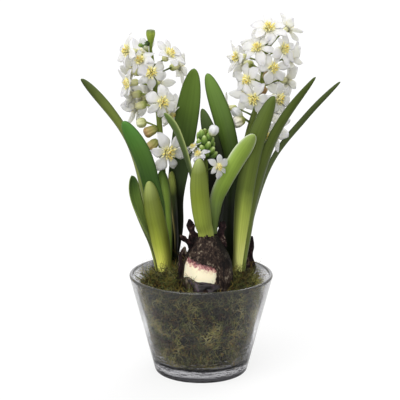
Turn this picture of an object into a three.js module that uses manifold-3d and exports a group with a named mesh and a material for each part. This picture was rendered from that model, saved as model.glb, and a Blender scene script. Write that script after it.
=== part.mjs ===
// Three white hyacinths growing from their bulbs in a tapered glass vase packed with moss.
// Millimetres, +Z up. The origin is the centre of the vase's foot, and the front looks towards -Y.
// A bearing is an angle round +Z in degrees: 0 is right (+X), 90 is the back (+Y), 270 is the front.

import * as THREE from 'three';
import { mergeVertices } from 'three/addons/utils/BufferGeometryUtils.js';
import Module from 'manifold-3d';

const wasm = await Module();
wasm.setup();

// Driving dimensions

const CLEARANCE = 0.3; // between a piece and the pocket that it stands in

const VASE = {
  height: 105,
  rimRadius: 75,
  footRadius: 48,
  wall: 3.8,
  floor: 12, // thickness of the solid glass under the moss
  footRound: 4.5,
  sides: 48,
};

// The moss is a plug with [radius, height] rings, drawn in from the glass near the rim.
const MOSS = {
  rings: [[30, 0], [40, 7], [48, 23], [54, 38], [58, 56], [60, 73], [57, 85], [44, 91.5], [25, 94.5], [6, 96]],
  sides: 30,
  bump: 0.9,
};

// Each bulb: its centre, its radius, and the heights of its root plate and neck.
const BULBS = {
  left: { centre: [-36, 5], radius: 20, bottom: 58, top: 107, neckShare: 0.66, sides: 12 },
  middle: { centre: [6, -30], radius: 26.5, bottom: 66, top: 153, neckShare: 0.4, sides: 20 },
  right: { centre: [38, 5], radius: 20, bottom: 58, top: 107, neckShare: 0.66, sides: 12 },
};
// Share of the full radius at a share of the height.
const BULB_PROFILE = [[0, 0.3], [0.13, 0.82], [0.38, 1], [0.54, 0.99], [0.67, 0.93], [0.79, 0.79], [0.9, 0.56], [1, 0.4]];
const ROOT_DEPTH = 12; // how far a leaf or stem stands in its bulb's neck
const TUNIC = 1.3; // thickness of the papery skin, seen where it is torn off the middle bulb

// The torn window in the middle bulb's skin, as [x, z] corners seen from the front.
const TORN_WINDOW = [[-23, 111], [-12, 113.5], [-3, 110], [5, 108.5], [13, 108.5], [16, 115], [16, 122],
  [11, 126.5], [5, 128.5], [-1, 128], [-6, 131], [-12, 132.5], [-16, 130], [-22, 125]];

// Loose tongues of skin round the necks: where each is rooted, as a bearing and a height, the point
// that its tip reaches, its width, and the bearing that it faces.
const TONGUES = [
  { bulb: 'middle', bearing: 190, root: 140, tip: [-12, -31, 170], width: 16, faces: 262 },
  { bulb: 'middle', bearing: 205, root: 138, tip: [-21, -37, 155], width: 10, faces: 280 },
  { bulb: 'middle', bearing: 8, root: 138, tip: [23, -23, 166], width: 17, faces: 285 },
  { bulb: 'left', bearing: 330, root: 98, tip: [-17, -3, 134], width: 13, faces: 285 },
  { bulb: 'right', bearing: 20, root: 98, tip: [53, 14, 141], width: 13, faces: 300 },
  { bulb: 'right', bearing: 182, root: 98, tip: [22, 8, 157], width: 22, faces: 262 },
];

// Leaves: `root` is the bearing and distance of the root from its bulb's centre, `widths` those at the root
// and at the widest, `via` the points up to the tip, `faces` the bearings of the leaf's back at root and tip,
// and `cup` how deep the channel is, as a share of half the width. The leaf has its full width from the share
// `fullAt` of its length, and its tip's rounding starts at `roundFrom`.
const LEAVES = [
  { name: 'leaf_left_front', bulb: 'left', root: [262, 9.5], widths: [14.5, 20], cup: 0.5, faces: [262, 262],
    via: [[-43, -12, 143], [-50, -15, 179], [-53, -15, 206]], roundFrom: 0.58 },
  { name: 'leaf_left_broad', bulb: 'left', root: [205, 5.5], widths: [7, 21], cup: 0.24, faces: [235, 252],
    via: [[-44, -1, 146], [-49, -6, 184], [-60, -17, 231], [-78, -23, 269]] },
  { name: 'leaf_left_short', bulb: 'left', root: [188, 10.6], widths: [5.5, 17], cup: 0.5, faces: [200, 130],
    via: [[-52.3, 3.1, 132], [-64.5, 0, 166], [-71, -1, 190], [-71, -2, 209]] },
  { name: 'leaf_left_outer', bulb: 'left', root: [140, 9.5], widths: [7, 18], cup: 0.4, faces: [160, 222],
    via: [[-53, 15, 141], [-70, 24, 220], [-83, 28, 250], [-124, 30, 304]] },
  { name: 'leaf_left_narrow', bulb: 'left', root: [318, 5.5], widths: [5, 15.5], cup: 0.34, faces: [310, 280],
    via: [[-33, -0.5, 146], [-37.8, -2.2, 183], [-40.1, -2.9, 215]], fullAt: 0.85 },
  { name: 'leaf_left_inner', bulb: 'left', root: [2, 9.5], widths: [5, 13], cup: 0.3, faces: [0, -50],
    via: [[-25, 6.2, 144], [-27.3, 8.2, 181], [-30.3, 9.5, 211]], fullAt: 0.85 },
  { name: 'leaf_left_tall', bulb: 'left', root: [55, 9], widths: [11, 24], cup: 0.2, faces: [60, 95],
    via: [[-24.5, 16, 150], [-26, 17.5, 182], [-21, 15, 223], [-15, 5, 265], [-7, -8, 320]], fullAt: 0.72 },
  { name: 'leaf_middle_front', bulb: 'middle', root: [262, 6], widths: [15.5, 19], cup: 0.45, faces: [268, 268],
    via: [[2, -43, 168], [-2, -47, 204], [-2, -45, 235.5]], roundFrom: 0.58 },
  { name: 'leaf_middle_right', bulb: 'middle', root: [20, 8.6], widths: [7.5, 18], cup: 0.3, faces: [322, 268],
    via: [[15.3, -32, 175], [17.5, -31, 192], [34, -36, 228], [52.5, -45, 259.5]] },
  { name: 'leaf_middle_left', bulb: 'middle', root: [168, 6.5], widths: [6, 16], cup: 0.3, faces: [168, 205],
    via: [[-2, -32, 180], [-10.5, -33, 216], [-19, -31.5, 243], [-27, -27.5, 262], [-37, -22, 277]] },
  { name: 'leaf_middle_back', bulb: 'middle', root: [75, 6.6], widths: [9, 21], cup: 0.3, faces: [100, 112],
    via: [[13, -17, 184], [14, -10.5, 225], [1, -6, 279]], fullAt: 0.22, roundFrom: 0.34 },
  { name: 'leaf_right_front', bulb: 'right', root: [262, 9.5], widths: [10, 19], cup: 0.4, faces: [265, 290],
    via: [[42, -18, 169], [46, -25, 204], [55, -34, 248], [72, -40, 297]] },
  { name: 'leaf_right_outer', bulb: 'right', root: [330, 6.5], widths: [8, 19], cup: 0.34, faces: [310, 325],
    via: [[48.5, -2, 141], [56, -9, 189], [76.5, -23, 256], [113, -34, 315]], roundFrom: 0.45 },
  { name: 'leaf_right_arching', bulb: 'right', root: [25, 7], widths: [6, 14], cup: 0.34, faces: [10, -35],
    via: [[50, 10, 144], [74, 19, 218], [108, 24, 263], [143, 23, 302]], roundFrom: 0.5 },
  { name: 'leaf_right_tall', bulb: 'right', root: [215, 6], widths: [18, 20], cup: 0.26, faces: [235, 262],
    via: [[28, -2, 152], [30.5, -8, 215], [24, -10, 259], [6, -7, 315]] },
  { name: 'leaf_right_back', bulb: 'right', root: [100, 9], widths: [8, 17], cup: 0.34, faces: [95, 90],
    via: [[37, 22, 150], [31, 34, 200], [22, 46, 262]] },
];
const LEAF = { thickness: 2.4, edge: 0.8, across: 4 };
const LEAF_STATIONS = [0, 0.13, 0.28, 0.44, 0.59, 0.73, 0.85, 0.94, 1];

// Flower stems, from inside the neck to the top of the head.
const STEMS = {
  left: { radius: 3.6, route: [[-36, 6, 95], [-38, 7, 160], [-40, 9, 220], [-44, 10, 275], [-51, 10, 333]] },
  middle: { radius: 2.6, route: [[6, -29, 141], [6, -28, 180], [5, -26, 220], [4, -23, 260]] },
  right: { radius: 3.6, route: [[38, 6, 95], [41, 7, 181], [47, 8, 245], [60, 10, 292], [67, 10, 342]] },
};

// Open florets, as [height of the mouth, bearing, reach from the stem, tilt above level, size, roll].
// The roll is the turn of the first petal, seen from the front of the flower.
const FLORETS = {
  left: [
    [337, 205, 26, 12, 0.95, 50], // top left, looking out
    [328.5, 240, 21, 42, 0.85, 30],
    [335, 322, 25, 42, 0.95, 57], // top right
    [317, 268, 25, 4, 0.95, 36], // large, facing the front
    [318, 30, 31, 6, 0.95, 20],
    [304.5, 205, 29, -2, 0.95, 7],
    [289, 166, 27, -14, 1, 40],
    [287, 286, 26, 0, 0.97, 46],
    [273, 335, 16, -35, 0.9, 10],
    [277, 165, 25, -16, 1.12, 25],
    [234.5, 290, 23, -8, 1.18, 12], // lowest, facing the front
  ],
  right: [
    [360, 275, 10, 50, 1, 32], // crown
    [357, 35, 26, 30, 0.95, 15],
    [341, 240, 21, 34, 0.95, 25],
    [330, 196, 30.5, 0, 0.92, 50],
    [339.5, 316, 23, 16, 0.92, 5],
    [322, 287, 27, 5, 0.92, 22], // large, facing the front
    [308.5, 230, 26, 0, 0.9, 2],
    [326, 36, 34, 2, 0.95, 30],
    [303, 30, 31, -8, 0.95, 12],
    [290.5, 255, 28, -4, 0.96, 47],
    [289.5, 314, 28, -6, 0.95, 31],
    [276, 166, 30, 0, 0.9, 20],
    [252, 313, 22, -10, 0.95, 30],
    [249, 24, 32, -26, 1.05, 40],
  ],
  middle: [
    [244, 196, 13, 60, 0.56, 30],
    [238.5, 238, 14, 50, 0.58, 10],
    [227, 302, 24, 10, 0.65, 55],
  ],
};

// The far side of a head, where the florets wind up the stem: the first height and bearing, and the steps.
const FAR_SIDE = {
  left: { count: 5, from: 268, rise: 15, bearing: 60, turn: 62, swing: 96, reach: 27 },
  right: { count: 5, from: 270, rise: 17, bearing: 50, turn: 62, swing: 96, reach: 27 },
};

// Closed buds, as [height of the tip, bearing, reach, tilt, length, radius].
const BUDS = {
  left: [
    [357, 270, 0.5, 86, 25, 4.8],
    [349, 182, 10, 64, 15, 3.7],
    [341, 186, 13, -12, 13, 3.3],
    [261.5, 190, 24, -8, 11, 5.2],
    [251, 198, 17, -22, 15, 5.7],
    [234, 206, 16.5, -40, 16, 6],
  ],
  right: [
    [278, 205, 27, 40, 14, 4.8],
    [263, 212, 24, -14, 16, 6.4],
    [313, 296, 11, 24, 12, 4.4],
    [295, 286, 11, -24, 13, 4.8],
  ],
  middle: [[266, 318, 14, 62, 12, 5.2]],
};

// The middle head is still mostly green buds, packed up the stem by the golden angle.
const GREEN_BUDS = { count: 22, from: 238, to: 263, reach: 12, crown: 6, low: 34, high: 82, length: 13, radius: 3.6, sides: 4 };
const GOLDEN_ANGLE = 137.5;

// A floret in its own frame: the tube's base at the origin, looking along +Z.
const FLORET = {
  petals: 6,
  tubeLength: 12,
  swelling: [3.8, 3.6],
  notch: 4.3,
  petal: 15.2,
  halfWidth: 5.5,
  sheet: 0.9,
  stamens: 3.4,
};
const PEDICEL = { radius: 1, sides: 3, climb: 7 };

// Shared geometry

const radians = THREE.MathUtils.degToRad;
const lerp = THREE.MathUtils.lerp;
const point = (list) => new THREE.Vector3(...list);
const outward = (bearing) => new THREE.Vector3(Math.cos(radians(bearing)), Math.sin(radians(bearing)), 0);
const routeThrough = (points) => new THREE.CatmullRomCurve3(points.map(point), false, 'centripetal');

// A small repeatable random source, so that every build gives the same flowers.
function seeded(seed) {
  let state = seed;
  return () => {
    state = (state * 1664525 + 1013904223) % 4294967296;
    return state / 4294967296;
  };
}

// A closed geometry from corner points and faces, turned so that its faces point outwards.
function closedGeometry(corners, faces) {
  let volume = 0;
  for (let i = 0; i < faces.length; i += 3) {
    const [a, b, c] = [corners[faces[i]], corners[faces[i + 1]], corners[faces[i + 2]]];
    volume += a.dot(b.clone().cross(c));
  }
  const order = volume < 0 ? faces.slice().reverse() : faces;
  return new THREE.BufferGeometry().setFromPoints(corners).setIndex(order);
}

// Joins rings with the same number of points into one closed body.
// The far half of each ring is split the other way, so that both faces of a blade have like triangles.
function loft(rings) {
  const n = rings[0].length;
  const last = (rings.length - 1) * n;
  const faces = [];
  for (let i = 0; i < last; i += n) {
    for (let j = 0; j < n; j += 1) {
      const k = (j + 1) % n;
      const [a, b, c, d] = [i + j, i + k, i + n + k, i + n + j];
      faces.push(...(j < n / 2 ? [a, b, c, a, c, d] : [a, b, d, b, c, d]));
    }
  }
  for (let j = 0; j < n / 2 - 1; j += 1) {
    const [a, b, c, d] = [j, j + 1, n - 2 - j, n - 1 - j];
    faces.push(a, c, b, a, d, c);
    faces.push(last + a, last + b, last + c, last + a, last + c, last + d);
  }
  return closedGeometry(rings.flat(), faces);
}

function solidOf(geometry) {
  const bare = new THREE.BufferGeometry().setAttribute('position', geometry.getAttribute('position'));
  const merged = mergeVertices(bare.setIndex(geometry.index), 1e-4);
  return new wasm.Manifold(new wasm.Mesh({
    numProp: 3,
    vertProperties: merged.attributes.position.array,
    triVerts: new Uint32Array(merged.index.array),
  }));
}

function geometryOf(solid) {
  const { vertProperties, triVerts } = solid.getMesh();
  return new THREE.BufferGeometry()
    .setAttribute('position', new THREE.BufferAttribute(vertProperties, 3))
    .setIndex(new THREE.BufferAttribute(triVerts, 1));
}

// The outer body of a solid: a sealed hollow is filled and a loose scrap is dropped.
const largest = (solid) => solid.decompose().sort((a, b) => b.volume() - a.volume())[0];

// Joins bodies into one, and drops the sliver faces that the joints leave.
const fused = (geometries) => largest(geometries.map(solidOf).reduce((whole, next) => whole.add(next))).simplify(0.05);

function tube(route, radiusAt, sides, steps) {
  const frames = route.computeFrenetFrames(steps);
  const rings = [];
  for (let i = 0; i <= steps; i += 1) {
    const centre = route.getPointAt(i / steps);
    const radius = radiusAt(i / steps);
    rings.push(Array.from({ length: sides }, (_, j) => {
      const turn = (2 * Math.PI * j) / sides;
      return centre.clone()
        .addScaledVector(frames.normals[i], radius * Math.cos(turn))
        .addScaledVector(frames.binormals[i], radius * Math.sin(turn));
    }));
  }
  return loft(rings);
}

// The vase

function vaseGeometry() {
  const { height, rimRadius, footRadius, wall, floor, footRound, sides } = VASE;
  const outer = (z) => lerp(footRadius, rimRadius, z / height);
  const inner = (z) => outer(z) - wall;
  const footCorner = [0, 0.5, 1].map((share) => {
    const turn = (share * Math.PI) / 2;
    return [outer(footRound) - footRound * (1 - Math.sin(turn)), footRound * (1 - Math.cos(turn))];
  });
  const rimCorner = 1;
  const floorCorner = 3;
  const profile = [
    [0, 0],
    ...footCorner,
    [outer(height - rimCorner), height - rimCorner],
    [rimRadius - rimCorner, height],
    [rimRadius - wall + rimCorner, height],
    [inner(height - rimCorner), height - rimCorner],
    [inner(floor + floorCorner), floor + floorCorner],
    [inner(floor) - floorCorner, floor],
    [0, floor],
  ];
  const points = profile.map(([r, z]) => new THREE.Vector2(r, z));
  return new THREE.LatheGeometry(points, sides).rotateX(Math.PI / 2);
}

// The moss, with a pocket for each bulb

function mossGeometry() {
  const base = VASE.floor + CLEARANCE;
  const rings = MOSS.rings.map(([radius, z], i) => Array.from({ length: MOSS.sides }, (_, j) => {
    const turn = (2 * Math.PI * j) / MOSS.sides;
    const swell = Math.sin(5 * turn + z / 9) + 0.7 * Math.sin(11 * turn - z / 5) + 0.5 * Math.sin(17 * turn + i);
    const r = radius + MOSS.bump * swell * (i === 0 ? 0 : 1);
    const heap = z > 80 ? MOSS.bump * Math.sin(7 * turn + radius / 6) : 0;
    return new THREE.Vector3(r * Math.cos(turn), r * Math.sin(turn), base + z + heap);
  }));
  const pockets = [
    ...Object.values(BULBS).map((bulb) => bulbGeometry(bulb, CLEARANCE)),
    ...TONGUES.map((tongue) => tongueGeometry(tongue, CLEARANCE)),
  ];
  const plug = pockets.reduce((body, pocket) => body.subtract(solidOf(pocket)), solidOf(loft(rings)));
  return geometryOf(largest(plug));
}

// The bulbs

function bulbGeometry({ centre, bottom, top, radius, neckShare, sides }, grow = 0) {
  const rings = BULB_PROFILE.map(([u, share]) => Array.from({ length: sides }, (_, j) => {
    const turn = (2 * Math.PI * j) / sides;
    const scales = 1 + 0.025 * Math.sin(3 * turn + 1) + 0.02 * Math.sin(7 * turn + 5 * u);
    const r = radius * Math.max(share, u > 0.5 ? neckShare : 0) * scales + grow;
    const tear = u === 1 ? 1.4 * Math.sin(3 * turn) + 1.1 * Math.sin(8 * turn + 2) : 0;
    const z = lerp(bottom - grow, top + grow, u) + tear;
    return new THREE.Vector3(centre[0] + r * Math.cos(turn), centre[1] + r * Math.sin(turn), z);
  }));
  return loft(rings);
}

// A thin pointed tongue of papery skin, sunk into the neck.
function tongueGeometry({ bulb, bearing, root, tip, width, faces }, grow = 0) {
  const { centre, radius, neckShare } = BULBS[bulb];
  const foot = point([...centre, root]).addScaledVector(outward(bearing), radius * neckShare - 1);
  const bend = foot.clone().lerp(point(tip), 0.55).addScaledVector(outward(bearing), 1.5);
  return bladeGeometry({
    route: new THREE.QuadraticBezierCurve3(foot, bend, point(tip)),
    cup: 0.2,
    faces: [faces, faces],
    thickness: 1.6,
    stations: [0, 0.35, 0.6, 0.8, 1],
    across: 3,
    widthAt: (t) => width * (1.08 - t) * (1 + 0.35 * Math.sin(9 * t)),
    grow,
  });
}

// The middle bulb with its skin torn off in a window at the front.
function torn(bulb, solid) {
  const flesh = solidOf(bulbGeometry(bulb, -TUNIC));
  const outline = new THREE.Shape(TORN_WINDOW.map(([x, z]) => new THREE.Vector2(x, z)));
  const through = new THREE.ExtrudeGeometry(outline, { depth: bulb.radius * 2, bevelEnabled: false })
    .rotateX(Math.PI / 2)
    .translate(0, bulb.centre[1] - 4, 0);
  return solid.subtract(solidOf(through).subtract(flesh));
}

function finishedBulb(side) {
  const bulb = BULBS[side];
  const tongues = TONGUES.filter((each) => each.bulb === side).map((each) => tongueGeometry(each));
  let solid = fused([bulbGeometry(bulb), ...tongues]);
  if (side === 'middle') solid = torn(bulb, solid);
  for (const leaf of LEAVES.filter((each) => each.bulb === side)) {
    solid = solid.subtract(solidOf(leafGeometry(leaf, CLEARANCE)));
  }
  solid = solid.subtract(solidOf(stemGeometry(STEMS[side], CLEARANCE)));
  return geometryOf(largest(solid));
}

// The leaves

// A thin channelled blade along a route, with its root end at the start.
function bladeGeometry({ route, widthAt, cup, faces, thickness, stations, across, grow = 0 }) {
  const rings = stations.map((t) => {
    const along = route.getTangentAt(t);
    const centre = route.getPointAt(t).addScaledVector(along, t === 0 ? -grow : 0);
    const sideways = along.clone().cross(outward(lerp(faces[0], faces[1], t))).normalize();
    const back = sideways.clone().cross(along).normalize();
    const half = widthAt(t) / 2 + grow;
    const layer = (side) => Array.from({ length: across }, (_, j) => {
      const s = (2 * j) / (across - 1) - 1;
      const thick = LEAF.edge + (thickness - LEAF.edge) * (1 - s * s) * Math.min(1, half / 4);
      return centre.clone()
        .addScaledVector(sideways, s * half)
        .addScaledVector(back, -cup * half * s * s + side * (thick / 2 + grow));
    });
    return [...layer(1), ...layer(-1).reverse()];
  });
  return loft(rings);
}

// Narrow where it leaves the neck, full by mid length, and rounded at the tip.
function leafWidth(widths, fullAt, roundFrom, t) {
  const full = lerp(widths[0], widths[1], THREE.MathUtils.smoothstep(t, 0.05, fullAt));
  return t < roundFrom ? full : full * Math.sqrt(1 - ((t - roundFrom) / (1.004 - roundFrom)) ** 2.4);
}

function leafGeometry({ bulb, root, widths, cup, faces, via, fullAt = 0.5, roundFrom = 0.74 }, grow = 0) {
  const { centre, top } = BULBS[bulb];
  const foot = point([...centre, top - ROOT_DEPTH]).addScaledVector(outward(root[0]), root[1]);
  const neck = foot.clone().lerp(point(via[0]), 0.12).setZ(top + 2);
  return bladeGeometry({
    route: routeThrough([foot.toArray(), neck.toArray(), ...via]),
    widthAt: (t) => leafWidth(widths, fullAt, roundFrom, t),
    cup,
    faces,
    thickness: LEAF.thickness,
    stations: LEAF_STATIONS,
    across: LEAF.across,
    grow,
  });
}

// The flower heads

function stemGeometry({ radius, route }, grow = 0) {
  const sides = 6;
  const steps = 7;
  const line = routeThrough(route);
  if (grow > 0) line.points[0].z -= grow;
  return tube(line, (t) => radius * (1 - 0.3 * t) + grow, sides, steps);
}

// The point on a stem at a height.
function stemAt(stem, z) {
  const line = routeThrough(stem.route);
  let [low, high] = [0, 1];
  for (let i = 0; i < 24; i += 1) {
    const mid = (low + high) / 2;
    if (line.getPoint(mid).z < z) low = mid;
    else high = mid;
  }
  return line.getPoint(low);
}

// One open floret as a closed six-petalled star on a tube. Each petal bends back beyond its shoulders.
function floretGeometry(size, random) {
  const { petals, tubeLength, swelling, notch, petal, halfWidth, sheet, stamens } = FLORET;
  const corners = [];
  const faces = [];
  const add = (turn, r, w, z) => {
    const [c, s] = [Math.cos(turn), Math.sin(turn)];
    corners.push(new THREE.Vector3(r * c - w * s, r * s + w * c, z).multiplyScalar(size));
    return corners.length - 1;
  };
  const ring = (r, z) => Array.from({ length: petals }, (_, i) => add(((i - 0.5) * 2 * Math.PI) / petals, r, 0, z));
  const shapes = Array.from({ length: petals }, (_, i) => ({
    lift: radians((i % 2 ? 14 : -2) + lerp(-7, 7, random())),
    curl: radians(lerp(18, 40, random())),
    reach: petal * (i % 2 ? 0.95 : 1) * lerp(0.92, 1.06, random()),
    half: halfWidth * (i % 2 ? 0.92 : 1.04),
  }));
  const layer = (z) => {
    const notches = ring(notch, z);
    return shapes.map(({ lift, curl, reach, half }, i) => {
      const turn = (i * 2 * Math.PI) / petals;
      const shoulder = [notch + 0.55 * reach * Math.cos(lift), z + 0.55 * reach * Math.sin(lift)];
      const tip = [shoulder[0] + 0.45 * reach * Math.cos(lift - curl), shoulder[1] + 0.45 * reach * Math.sin(lift - curl)];
      return [
        notches[i],
        add(turn, shoulder[0], -half, shoulder[1]),
        add(turn, tip[0], -half * 0.35, tip[1]),
        add(turn, tip[0], half * 0.35, tip[1]),
        add(turn, shoulder[0], half, shoulder[1]),
        notches[(i + 1) % petals],
      ];
    });
  };
  const front = layer(tubeLength + sheet / 2);
  const rear = layer(tubeLength - sheet / 2);
  const bulge = ring(...swelling);
  const heart = add(0, 0, 0, tubeLength + stamens);
  const base = add(0, 0, 0, 0);

  for (let i = 0; i < petals; i += 1) {
    const next = (i + 1) % petals;
    const [near, far] = [front[i], rear[i]];
    for (const [a, b, c] of [[0, 1, 4], [0, 4, 5], [1, 2, 3], [1, 3, 4]]) {
      faces.push(near[a], near[b], near[c], far[a], far[c], far[b]);
    }
    for (let j = 0; j < 5; j += 1) faces.push(near[j], far[j], far[j + 1], near[j], far[j + 1], near[j + 1]);
    faces.push(near[0], near[5], heart);
    faces.push(far[0], bulge[next], far[5], far[0], bulge[i], bulge[next]);
    faces.push(bulge[i], base, bulge[next]);
  }
  return closedGeometry(corners, faces);
}

// A closed bud: a pointed drop along +Z.
function budGeometry(length, radius, sides = 6) {
  const shape = [[0.35, 0], [0.95, 0.28], [0.95, 0.7], [0.3, 1]];
  return loft(shape.map(([r, z]) => Array.from({ length: sides }, (_, j) => {
    const turn = (2 * Math.PI * j) / sides;
    return new THREE.Vector3(radius * r * Math.cos(turn), radius * r * Math.sin(turn), length * z);
  })));
}

// Sets a flower or bud so that its mouth lies `reach` out from the stem, and adds the stalk that carries it.
function placed(geometry, length, stem, [z, bearing, reach, tilt], roll) {
  const look = outward(bearing).multiplyScalar(Math.cos(radians(tilt))).setZ(Math.sin(radians(tilt)));
  const mouth = stemAt(stem, z).setZ(z).addScaledVector(outward(bearing), reach);
  const foot = mouth.clone().addScaledVector(look, -length);
  const turned = new THREE.Quaternion().setFromUnitVectors(new THREE.Vector3(0, 0, 1), look);
  const matrix = new THREE.Matrix4().compose(foot, turned, new THREE.Vector3(1, 1, 1));
  geometry.rotateZ(roll).applyMatrix4(matrix);

  const start = stemAt(stem, Math.min(foot.z, stem.route.at(-1)[2]) - PEDICEL.climb);
  const end = foot.clone().addScaledVector(look, 1.2);
  const bend = start.clone().lerp(foot, 0.6).addScaledVector(look, -1.5);
  const stalk = tube(new THREE.QuadraticBezierCurve3(start, bend, end), () => PEDICEL.radius, PEDICEL.sides, 2);
  return [geometry, stalk];
}

function headGeometry(side, seed) {
  const stem = STEMS[side];
  const random = seeded(seed);
  const pieces = [stemGeometry(stem)];
  for (const [z, bearing, reach, tilt, size, roll] of [...FLORETS[side], ...farSide(FAR_SIDE[side])]) {
    const flower = floretGeometry(size, random);
    pieces.push(...placed(flower, FLORET.tubeLength * size, stem, [z, bearing, reach, tilt], radians(roll)));
  }
  for (const [z, bearing, reach, tilt, length, radius] of BUDS[side]) {
    pieces.push(...placed(budGeometry(length, radius), length, stem, [z, bearing, reach, tilt], 0));
  }
  if (side === 'middle') pieces.push(...greenBuds(stem));
  return geometryOf(fused(pieces));
}

function farSide(rule) {
  if (!rule) return [];
  const { count, from, rise, bearing, turn, swing, reach } = rule;
  return Array.from({ length: count }, (_, i) => {
    const tilt = lerp(-14, 16, i / count);
    return [from + i * rise, bearing + ((i * turn) % swing), reach, tilt, 1, 23 * i];
  });
}

function greenBuds(stem) {
  const { count, from, to, reach, crown, low, high, length, radius, sides } = GREEN_BUDS;
  return Array.from({ length: count }, (_, i) => {
    const up = i / (count - 1);
    const place = [lerp(from, to, up), i * GOLDEN_ANGLE, lerp(reach, crown, up), lerp(low, high, up)];
    return placed(budGeometry(length, radius, sides), length, stem, place, 0)[0];
  });
}

// The assembled object

const material = (name, color, roughness, extra = {}) => new THREE.MeshStandardMaterial({ name, color, roughness, metalness: 0, ...extra });

const glass = material('glass', 0xe6ebec, 0.04, { transparent: true, opacity: 0.35 });
const moss = material('moss', 0x4b5420, 0.95);
const tunic = material('tunic', 0x3a2c2a, 0.8);
const leafGreen = material('leaf', 0x5c7a34, 0.45);
const petalWhite = material('petal', 0xf1f0ee, 0.6);

const hyacinths = new THREE.Group();

function include(name, geometry, finish) {
  const mesh = new THREE.Mesh(geometry, finish);
  mesh.name = name;
  hyacinths.add(mesh);
}

include('vase', vaseGeometry(), glass);
include('moss', mossGeometry(), moss);
for (const side of Object.keys(BULBS)) include(`bulb_${side}`, finishedBulb(side), tunic);
for (const leaf of LEAVES) include(leaf.name, leafGeometry(leaf), leafGreen);
['left', 'middle', 'right'].forEach((side, i) => include(`flower_head_${side}`, headGeometry(side, 7 + i), petalWhite));

export default hyacinths;
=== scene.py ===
"""Three white hyacinths growing from bare bulbs in a tapered glass vase packed with moss.

Sizes are in millimetres up to the point where a mesh is made, and metres from there on.
The front looks towards -Y. A bearing is an angle round +Z in degrees: 0 is right, 90 the back, 270 the front.
"""

import math

import bpy
import numpy as np
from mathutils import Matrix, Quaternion, Vector, noise


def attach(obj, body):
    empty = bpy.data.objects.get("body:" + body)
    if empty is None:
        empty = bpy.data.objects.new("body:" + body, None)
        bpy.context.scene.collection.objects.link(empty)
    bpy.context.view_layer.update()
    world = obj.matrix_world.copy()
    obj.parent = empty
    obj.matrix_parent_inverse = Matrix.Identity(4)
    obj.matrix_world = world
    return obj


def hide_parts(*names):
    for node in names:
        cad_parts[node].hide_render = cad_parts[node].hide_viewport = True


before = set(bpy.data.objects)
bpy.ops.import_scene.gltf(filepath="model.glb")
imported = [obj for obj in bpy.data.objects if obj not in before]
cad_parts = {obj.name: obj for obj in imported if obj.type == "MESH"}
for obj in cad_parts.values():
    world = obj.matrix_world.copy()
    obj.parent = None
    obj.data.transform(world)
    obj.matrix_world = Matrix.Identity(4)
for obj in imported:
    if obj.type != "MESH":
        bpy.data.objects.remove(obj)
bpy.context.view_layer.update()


# The vase
# One piece of clear pressed glass, tapered from a heavy flat foot to a fire-polished rim.
# It stands on its foot, and the moss inside it carries the bulbs.

MM = 0.001
VASE = {"height": 105, "rim": 75, "foot": 48, "wall": 3.8, "floor": 12, "foot_round": 4.5, "floor_round": 5}
VASE_SIDES = 144
RIM_ROUND, FLAT = 1.85, 38  # FLAT is the radius out to which foot and floor are flat
# The heights over which the looks of foot and rim, and the marks of the mould, fade into the wall.
FOOT_TOP, RIM_START, MARKS_TOP = (26, 46), (102, 103.2), (22, 42)
# Painted refraction: the glass's colour by height, whose dark bands stand for dark things seen through it.
GLASS_PAINTED_REFRACTION = [
    (0.0, "D8D8DA"), (0.008, "121213"), (0.056, "1A191C"), (0.068, "8E8D92"), (0.085, "C4C3C8"),
    (0.118, "D2D1D6"), (0.136, "242326"), (0.152, "343336"), (0.168, "A5A4A8"), (0.22, "B4B3B7"),
    (0.34, "C6C5C8"), (0.5, "D8D7DA"), (0.988, "98989B"),
]  # by height: dark at the foot's edge and where the floor meets the wall, and greyer again at the rim


def paint(hex_code):
    """A paint's sRGB hex code as the linear colour that a shader takes."""
    channels = [int(hex_code[i : i + 2], 16) / 255 for i in (0, 2, 4)]
    return [c / 12.92 if c <= 0.04045 else ((c + 0.055) / 1.055) ** 2.4 for c in channels] + [1]


def add_node(tree, kind, inputs=(), stops=(), **settings):
    """A new node with its settings, a value or link on each input, and a ramp's colour stops.

    Inputs go by name or by number. A node given as an input stands for its first output.
    """
    made = tree.nodes.new(kind)
    for name, value in settings.items():
        setattr(made, name, value)
    for key, value in inputs.items() if isinstance(inputs, dict) else enumerate(inputs):
        if isinstance(value, (bpy.types.Node, bpy.types.NodeSocket)):
            tree.links.new(getattr(value, "outputs", [value])[0], made.inputs[key])
        else:
            made.inputs[key].default_value = value
    elements = made.color_ramp.elements if stops else []
    while len(elements) < len(stops):
        elements.new(0.5)
    for element, (place, code) in zip(elements, stops):
        element.position, element.color = place, paint(code)
    return made


def new_finish(name, **constants):
    """A material with the given values on its Principled shader, and the material's tree."""
    material = bpy.data.materials.new(name)
    material.use_nodes = True
    for key, value in constants.items():
        material.node_tree.nodes["Principled BSDF"].inputs[key.replace("_", " ")].default_value = value
    return material, material.node_tree


def dress(tree, paints, height=None, depth=0.0, strength=1.0, **driven):
    """Links a finish's paints, its relief `depth` millimetres deep, and what else drives its shader."""
    if height is not None:
        relief = {"Height": height, "Distance": depth * MM, "Strength": strength}
        driven["Normal"] = add_node(tree, "ShaderNodeBump", relief)
    for key, source in {"Base Color": paints, **driven}.items():
        tree.links.new(getattr(source, "outputs", [source])[0], tree.nodes["Principled BSDF"].inputs[key])


def own_place(tree):
    """A piece's own X, Y and Z, in metres."""
    place = add_node(tree, "ShaderNodeTexCoord").outputs["Object"]
    return add_node(tree, "ShaderNodeSeparateXYZ", [place]).outputs


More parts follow.
